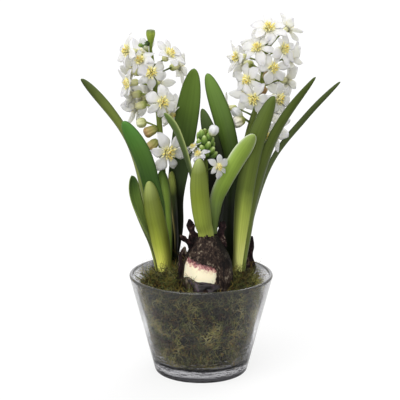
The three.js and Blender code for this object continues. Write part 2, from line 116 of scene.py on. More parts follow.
def object_noise(tree, size, detail=3, stretch=(1, 1, 1), roughness=0.55):
    """Noise whose lumps are about `size` millimetres across, on the piece's own coordinates."""
    place = add_node(tree, "ShaderNodeTexCoord").outputs["Object"]
    mapped = add_node(tree, "ShaderNodeMapping", {"Vector": place, "Scale": stretch})
    settings = {"Vector": mapped, "Scale": 0.5 / (size * MM), "Detail": detail, "Roughness": roughness}
    return add_node(tree, "ShaderNodeTexNoise", settings)


def sum_of(tree, base, *terms):
    """A base plus each source times its weight."""
    for source, weight in terms:
        base = add_node(tree, "ShaderNodeMath", [source, weight, base], operation="MULTIPLY_ADD")
    return base


def piece_of(name, corners, faces, material, **values):
    """A smooth object in metres from corners in millimetres, with any values that its corners carry."""
    mesh = bpy.data.meshes.new(name)
    mesh.from_pydata([tuple(c) for c in np.asarray(corners, float) * MM], [], [tuple(f) for f in faces])
    mesh.polygons.foreach_set("use_smooth", [True] * len(mesh.polygons))
    for key, numbers in values.items():
        mesh.attributes.new(key, "FLOAT", "POINT").data.foreach_set("value", np.asarray(numbers, np.float32))
    if material:
        mesh.materials.append(material)
    piece = bpy.data.objects.new(name, mesh)
    bpy.context.scene.collection.objects.link(piece)
    return piece


def skinned(rings, ends=None):
    """Corners and faces of a closed skin over rings of points, with a fan to an end point at each end."""
    rings = np.asarray(rings, float)
    count, sides = rings.shape[:2]
    corners = np.vstack([rings.reshape(-1, 3), ends or [rings[0].mean(0), rings[-1].mean(0)]])
    last = (count - 1) * sides
    round_about = [(j, (j + 1) % sides) for j in range(sides)]
    faces = []
    for i in range(0, last, sides):
        faces += [(i + j, i + k, i + sides + k, i + sides + j) for j, k in round_about]
    for j, k in round_about:
        faces += [(k, j, count * sides), (last + j, last + k, count * sides + 1)]
    a, b, c, d = (corners[[f[min(n, len(f) - 1)] for f in faces]] for n in range(4))
    is_inside_out = np.sum(a * (np.cross(b, c) + np.cross(c, d))) < 0
    return corners, [f[::-1] for f in faces] if is_inside_out else faces


def spun(profile, sides):
    """Corners and faces of a profile of (radius, height) turned round Z. It starts and ends on the axis."""
    turns = np.linspace(0, math.tau, sides, endpoint=False)
    rings = [[(r * math.cos(t), r * math.sin(t), z) for t in turns] for r, z in profile[1:-1]]
    return skinned(rings, [(0, 0, profile[0][1]), (0, 0, profile[-1][1])])


def bend(centre, radius, start, end, steps):
    """Points of a rounded corner in a profile, between two angles in degrees."""
    angles = np.radians(np.linspace(start, end, steps + 1))
    return [(centre[0] + radius * math.cos(a), centre[1] + radius * math.sin(a)) for a in angles]


def vase_outside(z):
    """The vase's outer radius at a height."""
    return VASE["foot"] + (VASE["rim"] - VASE["foot"]) * z / VASE["height"]


def vase_profile():
    """The vase's section from under its foot, up outside and down inside, to the middle of its floor."""
    wall, floor, height = VASE["wall"], VASE["floor"], VASE["height"]
    foot, well = VASE["foot_round"], VASE["floor_round"]
    inside = vase_outside(floor + well) - wall
    return [
        *[(radius, 0) for radius in (0, 3, FLAT)],
        *bend((vase_outside(foot) - foot, foot), foot, -90, -8, 7),
        *[(vase_outside(z), z) for z in (14, 24, 36, height / 2)],
        *bend((VASE["rim"] - wall / 2 - 0.3, height - RIM_ROUND), RIM_ROUND, 0, 180, 10),
        (vase_outside(height / 2) - wall, height / 2),
        *bend((inside - well, floor + well), well, 0, -90, 6),
        *[(radius, floor) for radius in (FLAT, 3, 0)],
    ]


# Soda-lime glass, fire-polished: mirror smooth, and a little grey where the light crosses much of it.
# Painted refraction darkens its colour by height, standing for the dark things seen through foot and rim.
# The mould left faint waves low down. Towards its sides the thin wall bends the light less than foot and
# rim do, and shows as a plain grey.
glass, tree = new_finish("clear pressed glass", Roughness=0.0, IOR=1.5, Transmission_Weight=1.0)
height = own_place(tree)["Z"]
ripple = object_noise(tree, 26, 2, (1, 1, 3))
share_up = sum_of(tree, -0.01, (ripple, 0.02), (height, 1 / (VASE["height"] * MM)))
painted_refraction = add_node(tree, "ShaderNodeValToRGB", [share_up], GLASS_PAINTED_REFRACTION)
faded = [
    add_node(tree, "ShaderNodeMapRange", [height, low * MM, high * MM, start, 1 - start])
    for (low, high), start in ((MARKS_TOP, 1), (FOOT_TOP, 0), (RIM_START, 1))
]
waves = object_noise(tree, 9, 2, (1, 1, 4))
waves = add_node(tree, "ShaderNodeMath", [waves, faded[0]], operation="MULTIPLY")
slant = add_node(tree, "ShaderNodeLayerWeight", {"Blend": 0.5}).outputs["Facing"]
plain = add_node(tree, "ShaderNodeMapRange", [slant, 0.38, 0.54])
for share in faded[1:]:
    plain = add_node(tree, "ShaderNodeMath", [plain, share], operation="MULTIPLY")
dress(tree, painted_refraction, waves, 1.6, Alpha=sum_of(tree, 1.0, (plain, -0.54)))
body = add_node(tree, "ShaderNodeVolumeAbsorption", {"Color": paint("8C8C90"), "Density": 3.0})
tree.links.new(body.outputs["Volume"], tree.nodes["Material Output"].inputs["Volume"])

vase = piece_of("vase_glass", *spun(vase_profile(), VASE_SIDES), glass)
vase.visible_shadow = False  # clear glass hardly shades the moss that it holds,
vase.visible_diffuse = False  # and throws hardly any light on it
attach(vase, "root")
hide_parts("vase")


# The moss
# A springy plug of damp and dry cushion moss, pushed in round the bulbs by hand. Its body is the packed
# solid. Loose green and dried strands lie all over it, stand up along its edge and stop at the glass.

MOSS_RINGS = [  # (radius, height)
    (30, 0), (40, 7), (48, 23), (54, 38), (58, 56), (60, 73), (57, 85), (44, 91.5), (25, 94.5), (6, 96),
]
MOSS_BASE = VASE["floor"] + 0.3
MOSS_SIDES, MOSS_STEPS = 84, 30
MOSS_LUMP, LUMP_SIZE = 2.4, 9  # how far the tufts swell in and out, and how wide they are
MOSS_HEAP, HEAP_LUMP = 2.5, 5  # how far the top is heaped up, and how uneven it is
MOSS_TOP, BULB_SKIRT = 84, 90  # above the first the moss is heaped up, above the second the bulbs break it
BULB_HOLES = [((-36, 5), 14), ((6, -30), 24), ((38, 5), 14)]  # no strand grows where a bulb stands
MOSS_STRANDS = [
    # name, strands per m2, length, thickness, lift, tangle and seed
    ("green", 104000, 12, 0.36, 0.4, 34, 11),
    ("dry", 66000, 13, 0.3, 0.3, 38, 12),
    ("fine", 70000, 15, 0.2, 0.2, 46, 13),
]

# Packed moss in shade: a felt of olive and brown with black pores, quite without shine.
felt, tree = new_finish("packed moss", Roughness=0.95, Specular_IOR_Level=0.15)
grain = object_noise(tree, 2.2, 5)
patches = sum_of(tree, 0.0, (grain, 0.5), (object_noise(tree, 11, 2), 0.5))
felt_stops = [(0.38, "0B0B06"), (0.48, "16160B"), (0.56, "272412"), (0.66, "3A361F")]
dress(tree, add_node(tree, "ShaderNodeValToRGB", [patches], felt_stops), grain, 2.0)
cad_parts["moss"].material_slots[0].material = felt


def moss_bed():
    """The moss's lumpy outer surface, without the places where the bulbs stand."""
    corners, faces = [], []
    turns = np.linspace(0, math.tau, MOSS_SIDES, endpoint=False)
    for place in np.linspace(0, len(MOSS_RINGS) - 1, MOSS_STEPS):
        radius, z = (np.interp(place, range(len(MOSS_RINGS)), column) for column in zip(*MOSS_RINGS))
        for turn in turns:
            x, y = math.cos(turn), math.sin(turn)
            lump = noise.noise(Vector((x * radius, y * radius, z)) / LUMP_SIZE)
            reach = radius - 0.6 + MOSS_LUMP * lump
            heaped = (HEAP_LUMP * lump + MOSS_HEAP) * (z > MOSS_TOP)
            corners.append((x * reach, y * reach, MOSS_BASE + z + heaped))
    corners = np.array(corners)
    for i in range(0, (MOSS_STEPS - 1) * MOSS_SIDES, MOSS_SIDES):
        for j in range(MOSS_SIDES):
            k = (j + 1) % MOSS_SIDES
            face = [i + n for n in (j, k, k + MOSS_SIDES, j + MOSS_SIDES)]
            x, y, z = corners[face].mean(0)
            if z < BULB_SKIRT or all(math.hypot(x - cx, y - cy) > r for (cx, cy), r in BULB_HOLES):
                faces.append(face)
    return corners, faces


def tree_with(name, sockets):
    """A Geometry Nodes tree with a geometry in and out, and its named inputs, as (tree, their outputs)."""
    tree = bpy.data.node_groups.new(name, "GeometryNodeTree")
    for label, kind in {"Geometry": "Geometry", **sockets}.items():
        tree.interface.new_socket(label, in_out="INPUT", socket_type=f"NodeSocket{kind}")
    tree.interface.new_socket("Geometry", in_out="OUTPUT", socket_type="NodeSocketGeometry")
    return tree, add_node(tree, "NodeGroupInput").outputs


def finished(tree, geometry, material):
    """Ends a tree: what it set out made real, in its material."""
    whole = add_node(tree, "GeometryNodeRealizeInstances", [geometry])
    dressed = add_node(tree, "GeometryNodeSetMaterial", {"Geometry": whole, "Material": material})
    add_node(tree, "NodeGroupOutput", [dressed])
    return tree


def grown(piece, tree, **settings):
    """Turns a piece into the plain mesh that a tree makes of it, with the tree's named inputs set."""
    modifier = piece.modifiers.new("grown", "NODES")
    modifier.node_group = tree
    for item in tree.interface.items_tree:
        if item.in_out == "INPUT" and item.name.replace(" ", "_") in settings:
            modifier[item.identifier] = settings[item.name.replace(" ", "_")]
    depsgraph = bpy.context.evaluated_depsgraph_get()
    evaluated = piece.evaluated_get(depsgraph)
    mesh = bpy.data.meshes.new_from_object(evaluated, preserve_all_data_layers=True, depsgraph=depsgraph)
    piece.modifiers.clear()
    piece.data = mesh
    return piece


def stirred(tree, geometry, pattern, reach):
    """A geometry whose points are pushed about by a noise's colours, each as far as its own reach."""
    centred = add_node(tree, "ShaderNodeVectorMath", [pattern, (0.5, 0.5, 0.5)], operation="SUBTRACT")
    push = add_node(tree, "ShaderNodeVectorMath", {0: centred, "Scale": reach}, operation="SCALE")
    return add_node(tree, "GeometryNodeSetPosition", {"Geometry": geometry, "Offset": push})


def strand_tree():
    """Curled strands scattered over a surface, each a thin tapered tube, held inside the glass."""
    sizes = ["Strands per m2", "Length", "Thickness", "Lift", "Tangle"]
    sockets = {**dict.fromkeys(sizes, "Float"), "Seed": "Int", "Material": "Material"}
    tree, given = tree_with("moss strands", sockets)
    scatter = {"Mesh": given["Geometry"], "Density": given["Strands per m2"], "Seed": given["Seed"]}
    spots = add_node(tree, "GeometryNodeDistributePointsOnFaces", scatter)
    tip = add_node(tree, "ShaderNodeCombineXYZ", {"Z": given["Length"]})
    straight = add_node(tree, "GeometryNodeCurvePrimitiveLine", {"End": tip})
    strand = add_node(tree, "GeometryNodeResampleCurve", {"Curve": straight, "Count": 8})

    any_way = {0: (-1, -1, -1), 1: (1, 1, 1), "Seed": given["Seed"]}
    stray = add_node(tree, "FunctionNodeRandomValue", any_way, data_type="FLOAT_VECTOR")
    from_bed = {0: spots.outputs["Normal"], "Scale": given["Lift"]}
    upright = add_node(tree, "ShaderNodeVectorMath", from_bed, operation="SCALE")
    lean = add_node(tree, "ShaderNodeVectorMath", [stray, upright], operation="ADD")
    facing = add_node(tree, "FunctionNodeAlignRotationToVector", {"Vector": lean}, axis="Z")
    size = add_node(tree, "FunctionNodeRandomValue", {2: 0.45, 3: 1.3, "Seed": 3}).outputs[1]
    on_spots = {"Points": spots, "Instance": strand, "Rotation": facing, "Scale": size}
    set_out = add_node(tree, "GeometryNodeInstanceOnPoints", on_spots)
    tone = add_node(tree, "FunctionNodeRandomValue", {2: 0.0, 3: 1.0, "Seed": 5}).outputs[1]
    kept = {"Geometry": set_out, "Name": "tone", "Value": tone}
    toned = add_node(tree, "GeometryNodeStoreNamedAttribute", kept, data_type="FLOAT", domain="INSTANCE")
    loose = add_node(tree, "GeometryNodeRealizeInstances", [toned])

    share = add_node(tree, "GeometryNodeSplineParameter")
    own_tone = add_node(tree, "GeometryNodeInputNamedAttribute", {"Name": "tone"}, data_type="FLOAT")
    drift = {"W": sum_of(tree, 0.0, (own_tone, 40.0)), "Scale": 120.0, "Detail": 1.0}
    pattern = add_node(tree, "ShaderNodeTexNoise", drift, noise_dimensions="4D").outputs["Color"]
    reach = add_node(tree, "ShaderNodeMath", [share, given["Tangle"]], operation="MULTIPLY")
    curled = stirred(tree, loose, pattern, reach)

    # The glass holds every strand in: its inner wall is a cone, and they stop just short of it.
    position = add_node(tree, "GeometryNodeInputPosition")
    x, y, z = add_node(tree, "ShaderNodeSeparateXYZ", [position]).outputs
    squares = add_node(tree, "ShaderNodeMath", [x, x, sum_of(tree, 0.0, (y, y))], operation="MULTIPLY_ADD")
    distance = add_node(tree, "ShaderNodeMath", [squares], operation="SQRT")
    taper = (VASE["rim"] - VASE["foot"]) / VASE["height"]
    wall = sum_of(tree, (VASE["foot"] - VASE["wall"] - 0.8) * MM, (z, taper))
    room = add_node(tree, "ShaderNodeMath", [wall, distance], operation="DIVIDE")
    held = add_node(tree, "ShaderNodeMath", [room, 1.0], operation="MINIMUM")
    above_floor = add_node(tree, "ShaderNodeMath", [z, (VASE["floor"] + 0.5) * MM], operation="MAXIMUM")
    x, y = (sum_of(tree, 0.0, (side, held)) for side in (x, y))
    inside = add_node(tree, "ShaderNodeCombineXYZ", [x, y, above_floor])
    kept_in = add_node(tree, "GeometryNodeSetPosition", {"Geometry": curled, "Position": inside})

    thin = sum_of(tree, 1.0, (share, -0.65))
    three_sided = {"Resolution": 3, "Radius": given["Thickness"]}
    section = add_node(tree, "GeometryNodeCurvePrimitiveCircle", three_sided)
    swept = {"Curve": kept_in, "Profile Curve": section, "Scale": thin, "Fill Caps": True}
    return finished(tree, add_node(tree, "GeometryNodeCurveToMesh", swept), given["Material"])


def strand_finish(name, stops):
    """Moss strands, matt as wet or dried leaf is. Each has its own tone, which drifts from tuft to tuft.

    They are darker towards the top of the moss than where the glass shows them.
    """
    material, tree = new_finish(name, Roughness=0.85, Specular_IOR_Level=0.2)
    tone = add_node(tree, "ShaderNodeAttribute", attribute_name="tone").outputs["Fac"]
    mixed = sum_of(tree, -0.55, (tone, 0.6), (object_noise(tree, 9, 1), 1.5))
    painted = add_node(tree, "ShaderNodeValToRGB", [mixed], stops)
    # The strands are mixed towards near black with height, over the top of the moss.
    darker_up_top = add_node(tree, "ShaderNodeMapRange", [own_place(tree)["Z"], 92 * MM, 104 * MM, 0.0, 0.55])
    dark = add_node(tree, "ShaderNodeMix", {0: darker_up_top, 6: painted, 7: paint("191D06")}, data_type="RGBA")
    dress(tree, dark.outputs[2])
    return material


STRAND_FINISHES = {
    # Living moss runs from nearly black to olive, and a few strands have a fresh yellow-green tip.
    "green": strand_finish(
        "green moss", [(0.0, "131506"), (0.28, "33391A"), (0.5, "5F6A2E"), (0.75, "989A4A"), (1.0, "D4CC70")]
    ),
    # Dried moss is straw, golden brown and a little red.
    "dry": strand_finish(
        "dried moss", [(0.0, "5A2A1E"), (0.22, "563C20"), (0.5, "8A7031"), (0.75, "B99C46"), (1.0, "E2CC72")]
    ),
    # The finest are grey-green threads with brown ones among them.
    "fine": strand_finish(
        "moss threads",
        [(0.0, "462E18"), (0.25, "524C24"), (0.5, "878552"), (0.75, "B5B376"), (1.0, "DED9A0")],
    ),
}

strands = strand_tree()
for name, per_m2, length, thickness, lift, tangle, seed in MOSS_STRANDS:
    moss = grown(
        piece_of(f"moss_{name}_strands", *moss_bed(), None),
        strands,
        Strands_per_m2=float(per_m2),
        Length=length * MM,
        Thickness=thickness * MM,
        Lift=lift,
        Tangle=tangle * MM,
        Seed=seed,
        Material=STRAND_FINISHES[name],
    )
    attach(moss, "root")


# The bulbs
# Each is a ball of pale fleshy scales in a papery brown-purple skin, grown narrow into a neck. The front one
# stands high, its skin torn open. The two behind sink into the moss to their necks.

BULBS = {
    "left": {"centre": (-36, 5), "radius": 20, "bottom": 58, "top": 107, "neck": 0.66},
    "middle": {"centre": (6, -30), "radius": 26.5, "bottom": 66, "top": 153, "neck": 0.4},
    "right": {"centre": (38, 5), "radius": 20, "bottom": 58, "top": 107, "neck": 0.66},
}
BULB_PROFILE = [  # (height, radius) as shares
    (0, 0.3), (0.13, 0.82), (0.38, 1), (0.54, 0.99), (0.67, 0.93), (0.79, 0.79), (0.9, 0.56), (1, 0.4),
]
BULB_DETAIL = {"left": (72, 44), "middle": (192, 120), "right": (72, 44)}  # sides and rings
CRINKLE = 0.9  # depth of the skin's folds
TUNIC = 1.3  # thickness of the layers of skin at the tear
TORN_WINDOW = [
    (-18.6, 110.2), (-17, 111.4), (-15, 112.8), (-12, 113.8), (-8.5, 112.4), (-5, 110.6), (-2, 110),
    (1.5, 109.4), (5, 108.5), (9, 108.9), (13, 108.4), (14.6, 111), (14.4, 113.5), (15.6, 116),
    (15.2, 119), (16, 121.4), (14.6, 123), (13.4, 125.6), (11.8, 125), (10.2, 127.2), (8.2, 126.4),
    (6.2, 128.6), (4.4, 127.6), (2.6, 129), (1, 127.8), (-0.8, 129.6), (-2.8, 128.8), (-4.6, 131.2),
    (-6.6, 130.4), (-8.4, 132.6), (-10.5, 131.6), (-12.4, 133.4), (-14.5, 132.4), (-16.2, 133),
    (-17.4, 130.4), (-18.2, 126), (-18, 119),
]  # (x, z) seen from the front
WINDOW_REACH = (40, 6)  # the tear is cut from this far before the bulb's middle to this far
TEAR_SLOPE, STAIN = 0.234, (117.5, 134.5)  # the tear falls to the right, and is stained between these heights
NECK_SHADE = {"slope": 0.5, "from": 84.5, "to": 91}  # in X plus the slope times Z
TONGUES = [
    {"bulb": "middle", "bearing": 190, "root": 140, "tip": (-12, -31, 170), "width": 16, "faces": 262},
    {"bulb": "middle", "bearing": 205, "root": 138, "tip": (-21, -37, 155), "width": 10, "faces": 280},
    {"bulb": "middle", "bearing": 8, "root": 138, "tip": (23, -23, 166), "width": 17, "faces": 285},
    {
        "bulb": "middle", "bearing": 197, "root": 92, "tip": (-21, -36, 137), "width": 9, "faces": 262,
        "out": 27,
    },
    {"bulb": "left", "bearing": 330, "root": 98, "tip": (-17, -3, 134), "width": 13, "faces": 285},
    {"bulb": "right", "bearing": 20, "root": 98, "tip": (53, 14, 141), "width": 13, "faces": 300},
    {"bulb": "right", "bearing": 182, "root": 98, "tip": (22, 8, 157), "width": 22, "faces": 262},
]
FOLDS = [
    {
        "bulb": "middle", "bearing": 254, "root": 111.2, "tip": (-4, -59.5, 96), "width": 21, "faces": 258,
        "out": 25.6,
    },
    {
        "bulb": "middle", "bearing": 281, "root": 108.3, "tip": (11, -58.5, 95), "width": 15, "faces": 280,
        "out": 25.8,
    },
]
TONGUE_SHEET, TONGUE_ACROSS, TONGUE_STATIONS = 0.55, 9, 22


def outward(bearing):
    """The level direction of a bearing."""
    return np.array([math.cos(math.radians(bearing)), math.sin(math.radians(bearing)), 0.0])


def skin_folds(turn, z):
    """Dry skin shrinks into long upright folds with finer creases across them, from -1 to 1."""
    folds = noise.noise(Vector((math.cos(turn) * 3.2, math.sin(turn) * 3.2, z * 0.035)))
    creases = noise.noise(Vector((math.cos(turn) * 9, math.sin(turn) * 9, z * 0.22)))
    return folds * 0.9 + creases * 0.45


def bulb_rings(side, grow=0.0, crinkled=True):
    """The rings of a bulb's skin, or of what lies `grow` outside it. The neck ends in a torn edge."""
    bulb = BULBS[side]
    sides, count = BULB_DETAIL[side]
    turns = np.linspace(0, math.tau, sides, endpoint=False)
    torn_edge = 1.4 * np.sin(3 * turns) + 1.1 * np.sin(8 * turns + 2) + 0.8 * np.sin(19 * turns)
    heights, shares = zip(*BULB_PROFILE)
    rings = []
    for u in np.linspace(0, 1, count):
        share = max(np.interp(u, heights, shares), bulb["neck"] if u > 0.5 else 0)
        scales = 1 + 0.025 * np.sin(3 * turns + 1) + 0.02 * np.sin(7 * turns + 5 * u)
        reach = bulb["radius"] * share * scales + grow
        z = bulb["bottom"] - grow + (bulb["top"] - bulb["bottom"] + 2 * grow) * u
        if crinkled:
            reach = reach + [CRINKLE * skin_folds(t, z) for t in turns]
        x = bulb["centre"][0] + reach * np.cos(turns)
        y = bulb["centre"][1] + reach * np.sin(turns)
        rings.append(np.stack([x, y, z + torn_edge * (u > 0.99)], 1))
    return np.array(rings)


def skin_finish(name, stops, shaded_neck=False):
    """Dry bulb skin: brown-purple paper in many layers, dull, with pale grey-brown scabs and long fibres.

    The middle bulb's neck has painted shade on the right, nearly black, where it stands in the shade of the
    leaves.
    """
    material, tree = new_finish(name, Roughness=0.72, Specular_IOR_Level=0.12)
    scabs, flecks = object_noise(tree, 7, 3, (1, 1, 0.8), 0.6), object_noise(tree, 1.1, 4, (1, 1, 0.7), 0.75)
    grain = sum_of(tree, 0.0, (scabs, 0.5), (flecks, 0.5))
    painted = add_node(tree, "ShaderNodeValToRGB", [grain], stops)
    # Painted shade: on the middle bulb, the neck's right side is mixed nearly to black.
    if shaded_neck:
        x, _, z = own_place(tree)
        beyond = sum_of(tree, x, (z, NECK_SHADE["slope"]))
        start, end = NECK_SHADE["from"] * MM, NECK_SHADE["to"] * MM
        dark = add_node(tree, "ShaderNodeMapRange", [beyond, start, end, 0.0, 0.88])
        mixed = add_node(tree, "ShaderNodeMix", {0: dark, 6: painted, 7: paint("0A0705")}, data_type="RGBA")
        painted = mixed.outputs[2]
    dress(tree, painted, grain, 1.6)
    return material


papery_skin = skin_finish(
    "papery bulb skin",
    [(0.42, "090605"), (0.47, "1A1210"), (0.52, "2E231D"), (0.56, "3F332B"), (0.62, "8C8270")],
    True,
)
old_skin = skin_finish(
    "old bulb skin",
    [(0.42, "090605"), (0.47, "170C0E"), (0.52, "251617"), (0.56, "3C2B28"), (0.62, "8C8270")],
)

# Bulb flesh: wet, cream and smooth, with rags of crimson inner skin left along the upper edge of the tear.
flesh, tree = new_finish(
    "bulb flesh",
    Roughness=0.42,
    Subsurface_Weight=0.25,
    Subsurface_Radius=(0.004, 0.002, 0.001),
    Subsurface_Scale=1.0,
)
x, _, z = own_place(tree)
rags = object_noise(tree, 1.3, 4)
below_skin = sum_of(tree, z, (x, TEAR_SLOPE))
share_up = add_node(tree, "ShaderNodeMapRange", [below_skin, STAIN[0] * MM, STAIN[1] * MM])
stained = sum_of(tree, -0.6, (share_up, 1.0), (rags, 1.2))
flesh_stops = [
    (0.2, "E5DCBE"), (0.34, "D6C0A6"), (0.43, "B2827A"), (0.57, "783B3C"), (0.72, "4E2629"), (0.92, "2C1718"),
]
dress(tree, add_node(tree, "ShaderNodeValToRGB", [stained], flesh_stops), rags, 0.3)

# Inner bulb skin: smooth, dark purple, with a dull shine. It hangs in folds where it was torn down.
inner_skin, tree = new_finish("inner bulb skin", Roughness=0.42, Specular_IOR_Level=0.4)
bloom = object_noise(tree, 2.5, 3)
bloom_stops = [(0.42, "0C0609"), (0.58, "1E1018"), (0.72, "4A3846")]
dress(tree, add_node(tree, "ShaderNodeValToRGB", [bloom], bloom_stops), bloom, 1.2)


def tongue_of(spec, seed):
    """A ragged tongue of dry skin: a thin crumpled blade with torn edges."""
    bulb, side_way, back = BULBS[spec["bulb"]], outward(spec["bearing"]), outward(spec["faces"])
    out = spec.get("out", bulb["radius"] * bulb["neck"] - 1)
    foot = np.array([*bulb["centre"], spec["root"]]) + side_way * out
    tip = np.array(spec["tip"], float)
    middle = foot + (tip - foot) * 0.55 + side_way * 1.5
    rings = []
    for t in np.linspace(0, 1, TONGUE_STATIONS):
        centre = foot * (1 - t) ** 2 + middle * 2 * t * (1 - t) + tip * t * t
        sideways = np.cross(2 * (1 - t) * (middle - foot) + 2 * t * (tip - middle), back)
        sideways /= np.linalg.norm(sideways)
        width = spec["width"] * (1.03 - t) ** 0.6 * (1 + 0.3 * math.sin(9 * t))
        front, rear = [], []
        for s in np.linspace(-1, 1, TONGUE_ACROSS):
            torn = 1 + 0.28 * noise.noise(Vector((seed * 7.1, t * 9, s * 1.5))) * abs(s)
            crumple = 1.5 * noise.noise(Vector((t * 4 + seed * 3.3, s * 1.6, 0.5)))
            point = centre + sideways * s * width / 2 * torn + back * (crumple - 0.1 * width * s * s)
            thick = TONGUE_SHEET * (1 - 0.5 * s * s)
            front.append(point + back * thick / 2)
            rear.append(point - back * thick / 2)
        rings.append(front + rear[::-1])
    return skinned(rings)


def joined(parts):
    """Several (corners, faces) as one."""
    corners, faces, count = [], [], 0
    for some_corners, some_faces in parts:
        corners.append(np.asarray(some_corners))
        faces += [tuple(n + count for n in face) for face in some_faces]
        count += len(some_corners)
    return np.vstack(corners), faces


def cut_away(piece, cutter):
    """Takes the cutter's shape out of a piece, for good."""
    step = piece.modifiers.new("tear", "BOOLEAN")
    step.operation, step.solver, step.object = "DIFFERENCE", "EXACT", cutter
    depsgraph = bpy.context.evaluated_depsgraph_get()
    mesh = bpy.data.meshes.new_from_object(piece.evaluated_get(depsgraph), depsgraph=depsgraph)
    piece.modifiers.clear()
    piece.data = mesh
    bpy.data.objects.remove(cutter)


for side, bulb in BULBS.items():
    is_torn = side == "middle"
    skin = piece_of(f"bulb_{side}_skin", *skinned(bulb_rings(side)), papery_skin if is_torn else old_skin)
    if is_torn:
        window = [[(x, bulb["centre"][1] - y, z) for x, z in TORN_WINDOW] for y in WINDOW_REACH]
        cut_away(skin, piece_of("tear", *skinned(window), None))
    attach(skin, "root")
    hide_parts(f"bulb_{side}")
    tongues = [tongue_of(spec, i) for i, spec in enumerate(TONGUES) if spec["bulb"] == side]
    ragged = piece_of(f"bulb_{side}_rags", *joined(tongues), old_skin)
    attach(ragged, "root")

bared = piece_of("bulb_middle_flesh", *skinned(bulb_rings("middle", -TUNIC, False)), flesh)
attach(bared, "root")
hanging = [tongue_of(spec, seed) for seed, spec in enumerate(FOLDS, 20)]
folds = piece_of("bulb_middle_folds", *joined(hanging), inner_skin)
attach(folds, "root")


# The leaves
# Thick, fleshy straps, channelled along the middle, with a smooth waxy face and a rounded hooded tip.
# Each grows out of its bulb's neck. They are pale where they left the bulb, and veined lengthwise.

# `root` is the bearing and distance of the root from the bulb's middle, `widths` those at root and middle,
# `via` the points up to the tip, `faces` the bearings of the back at root and tip, and `cup` the channel's
# depth.
LEAVES = {
    "left_front": {
        "root": (262, 9.5), "widths": (14.5, 20), "cup": 0.5, "faces": (262, 262), "round_from": 0.58,
        "via": [(-43, -12, 143), (-50, -15, 179), (-53, -15, 206)], "look": "yellow_foot",
    },
    "left_broad": {
        "root": (205, 5.5), "widths": (7, 21), "cup": 0.24, "faces": (235, 252),
        "via": [(-44, -1, 146), (-49, -6, 184), (-60, -17, 231), (-78, -23, 269)], "look": "deep",
    },
    "left_short": {
        "root": (188, 10.6), "widths": (5.5, 17), "cup": 0.5, "faces": (200, 130),
        "via": [(-52.3, 3.1, 132), (-64.5, 0, 166), (-71, -1, 190), (-71, -2, 209)], "look": "short",
    },
    "left_outer": {
        "root": (140, 9.5), "widths": (7, 18), "cup": 0.4, "faces": (160, 222),
        "via": [(-53, 15, 141), (-70, 24, 220), (-83, 28, 250), (-124, 30, 304)], "look": "lying",
    },
    "left_narrow": {
        "root": (318, 5.5), "widths": (5, 15.5), "cup": 0.34, "faces": (310, 280), "full_at": 0.85,
        "via": [(-33, -0.5, 146), (-37.8, -2.2, 183), (-40.1, -2.9, 215)], "look": "narrow",
    },
    "left_inner": {
        "root": (2, 9.5), "widths": (5, 13), "cup": 0.3, "faces": (0, -50), "full_at": 0.85,
        "via": [(-25, 6.2, 144), (-27.3, 8.2, 181), (-30.3, 9.5, 211)], "look": "inner",
    },
    "left_tall": {
        "root": (55, 9), "widths": (11, 24), "cup": 0.2, "faces": (60, 95), "full_at": 0.72,
        "via": [(-24.5, 16, 150), (-26, 17.5, 182), (-21, 15, 223), (-15, 5, 265), (-7, -8, 320)],
        "look": "tall",
    },
    "middle_front": {
        "root": (262, 6), "widths": (15.5, 19), "cup": 0.45, "faces": (268, 268), "round_from": 0.58,
        "via": [(2, -43, 168), (-2, -47, 204), (-2, -45, 235.5)], "look": "olive",
    },
    "middle_right": {
        "root": (20, 8.6), "widths": (7.5, 18), "cup": 0.3, "faces": (322, 268),
        "via": [(15.3, -32, 175), (17.5, -31, 192), (34, -36, 228), (52.5, -45, 259.5)], "look": "edged",
    },
    "middle_left": {
        "root": (168, 6.5), "widths": (6, 16), "cup": 0.3, "faces": (168, 205),
        "via": [(-2, -32, 180), (-10.5, -33, 216), (-19, -31.5, 243), (-27, -27.5, 262), (-37, -22, 277)],
        "look": "spring",
    },
    "middle_back": {
        "root": (75, 6.6), "widths": (9, 21), "cup": 0.3, "faces": (100, 112), "full_at": 0.22,
        "round_from": 0.34, "via": [(13, -17, 184), (14, -10.5, 225), (1, -6, 279)], "look": "shaded",
    },
    "right_front": {
        "root": (262, 9.5), "widths": (10, 19), "cup": 0.4, "faces": (265, 290),
        "via": [(42, -18, 169), (46, -25, 204), (55, -34, 248), (72, -40, 297)], "look": "pale_foot",
    },
    "right_outer": {
        "root": (330, 6.5), "widths": (8, 19), "cup": 0.34, "faces": (310, 325), "round_from": 0.45,
        "via": [(48.5, -2, 141), (56, -9, 189), (76.5, -23, 256), (113, -34, 315)], "look": "outer",
    },
    "right_arching": {
        "root": (25, 7), "widths": (6, 14), "cup": 0.34, "faces": (10, -35), "round_from": 0.5,
        "via": [(50, 10, 144), (74, 19, 218), (108, 24, 263), (143, 23, 302)], "look": "arching",
    },
    "right_tall": {
        "root": (215, 6), "widths": (18, 20), "cup": 0.26, "faces": (235, 262),
        "via": [(28, -2, 152), (30.5, -8, 215), (24, -10, 259), (6, -7, 315)], "look": "right_tall",
    },
    "right_back": {
        "root": (100, 9), "widths": (8, 17), "cup": 0.34, "faces": (95, 90),
        "via": [(37, 22, 150), (31, 34, 200), (22, 46, 262)], "look": "tall",
    },
}
ROOT_DEPTH = 12  # how far a leaf stands in its bulb's neck
LEAF_THICKNESS, LEAF_EDGE, LEAF_RIPPLE, LEAF_GROOVE = 2.4, 0.8, 0.45, 0.35
LEAF_COLUMNS, LEAF_STATIONS = 13, 54
LEAF_VEINS = 7  # drawn coarser than life, so that they show
SPLINE_STEPS = 80  # between two of a route's points


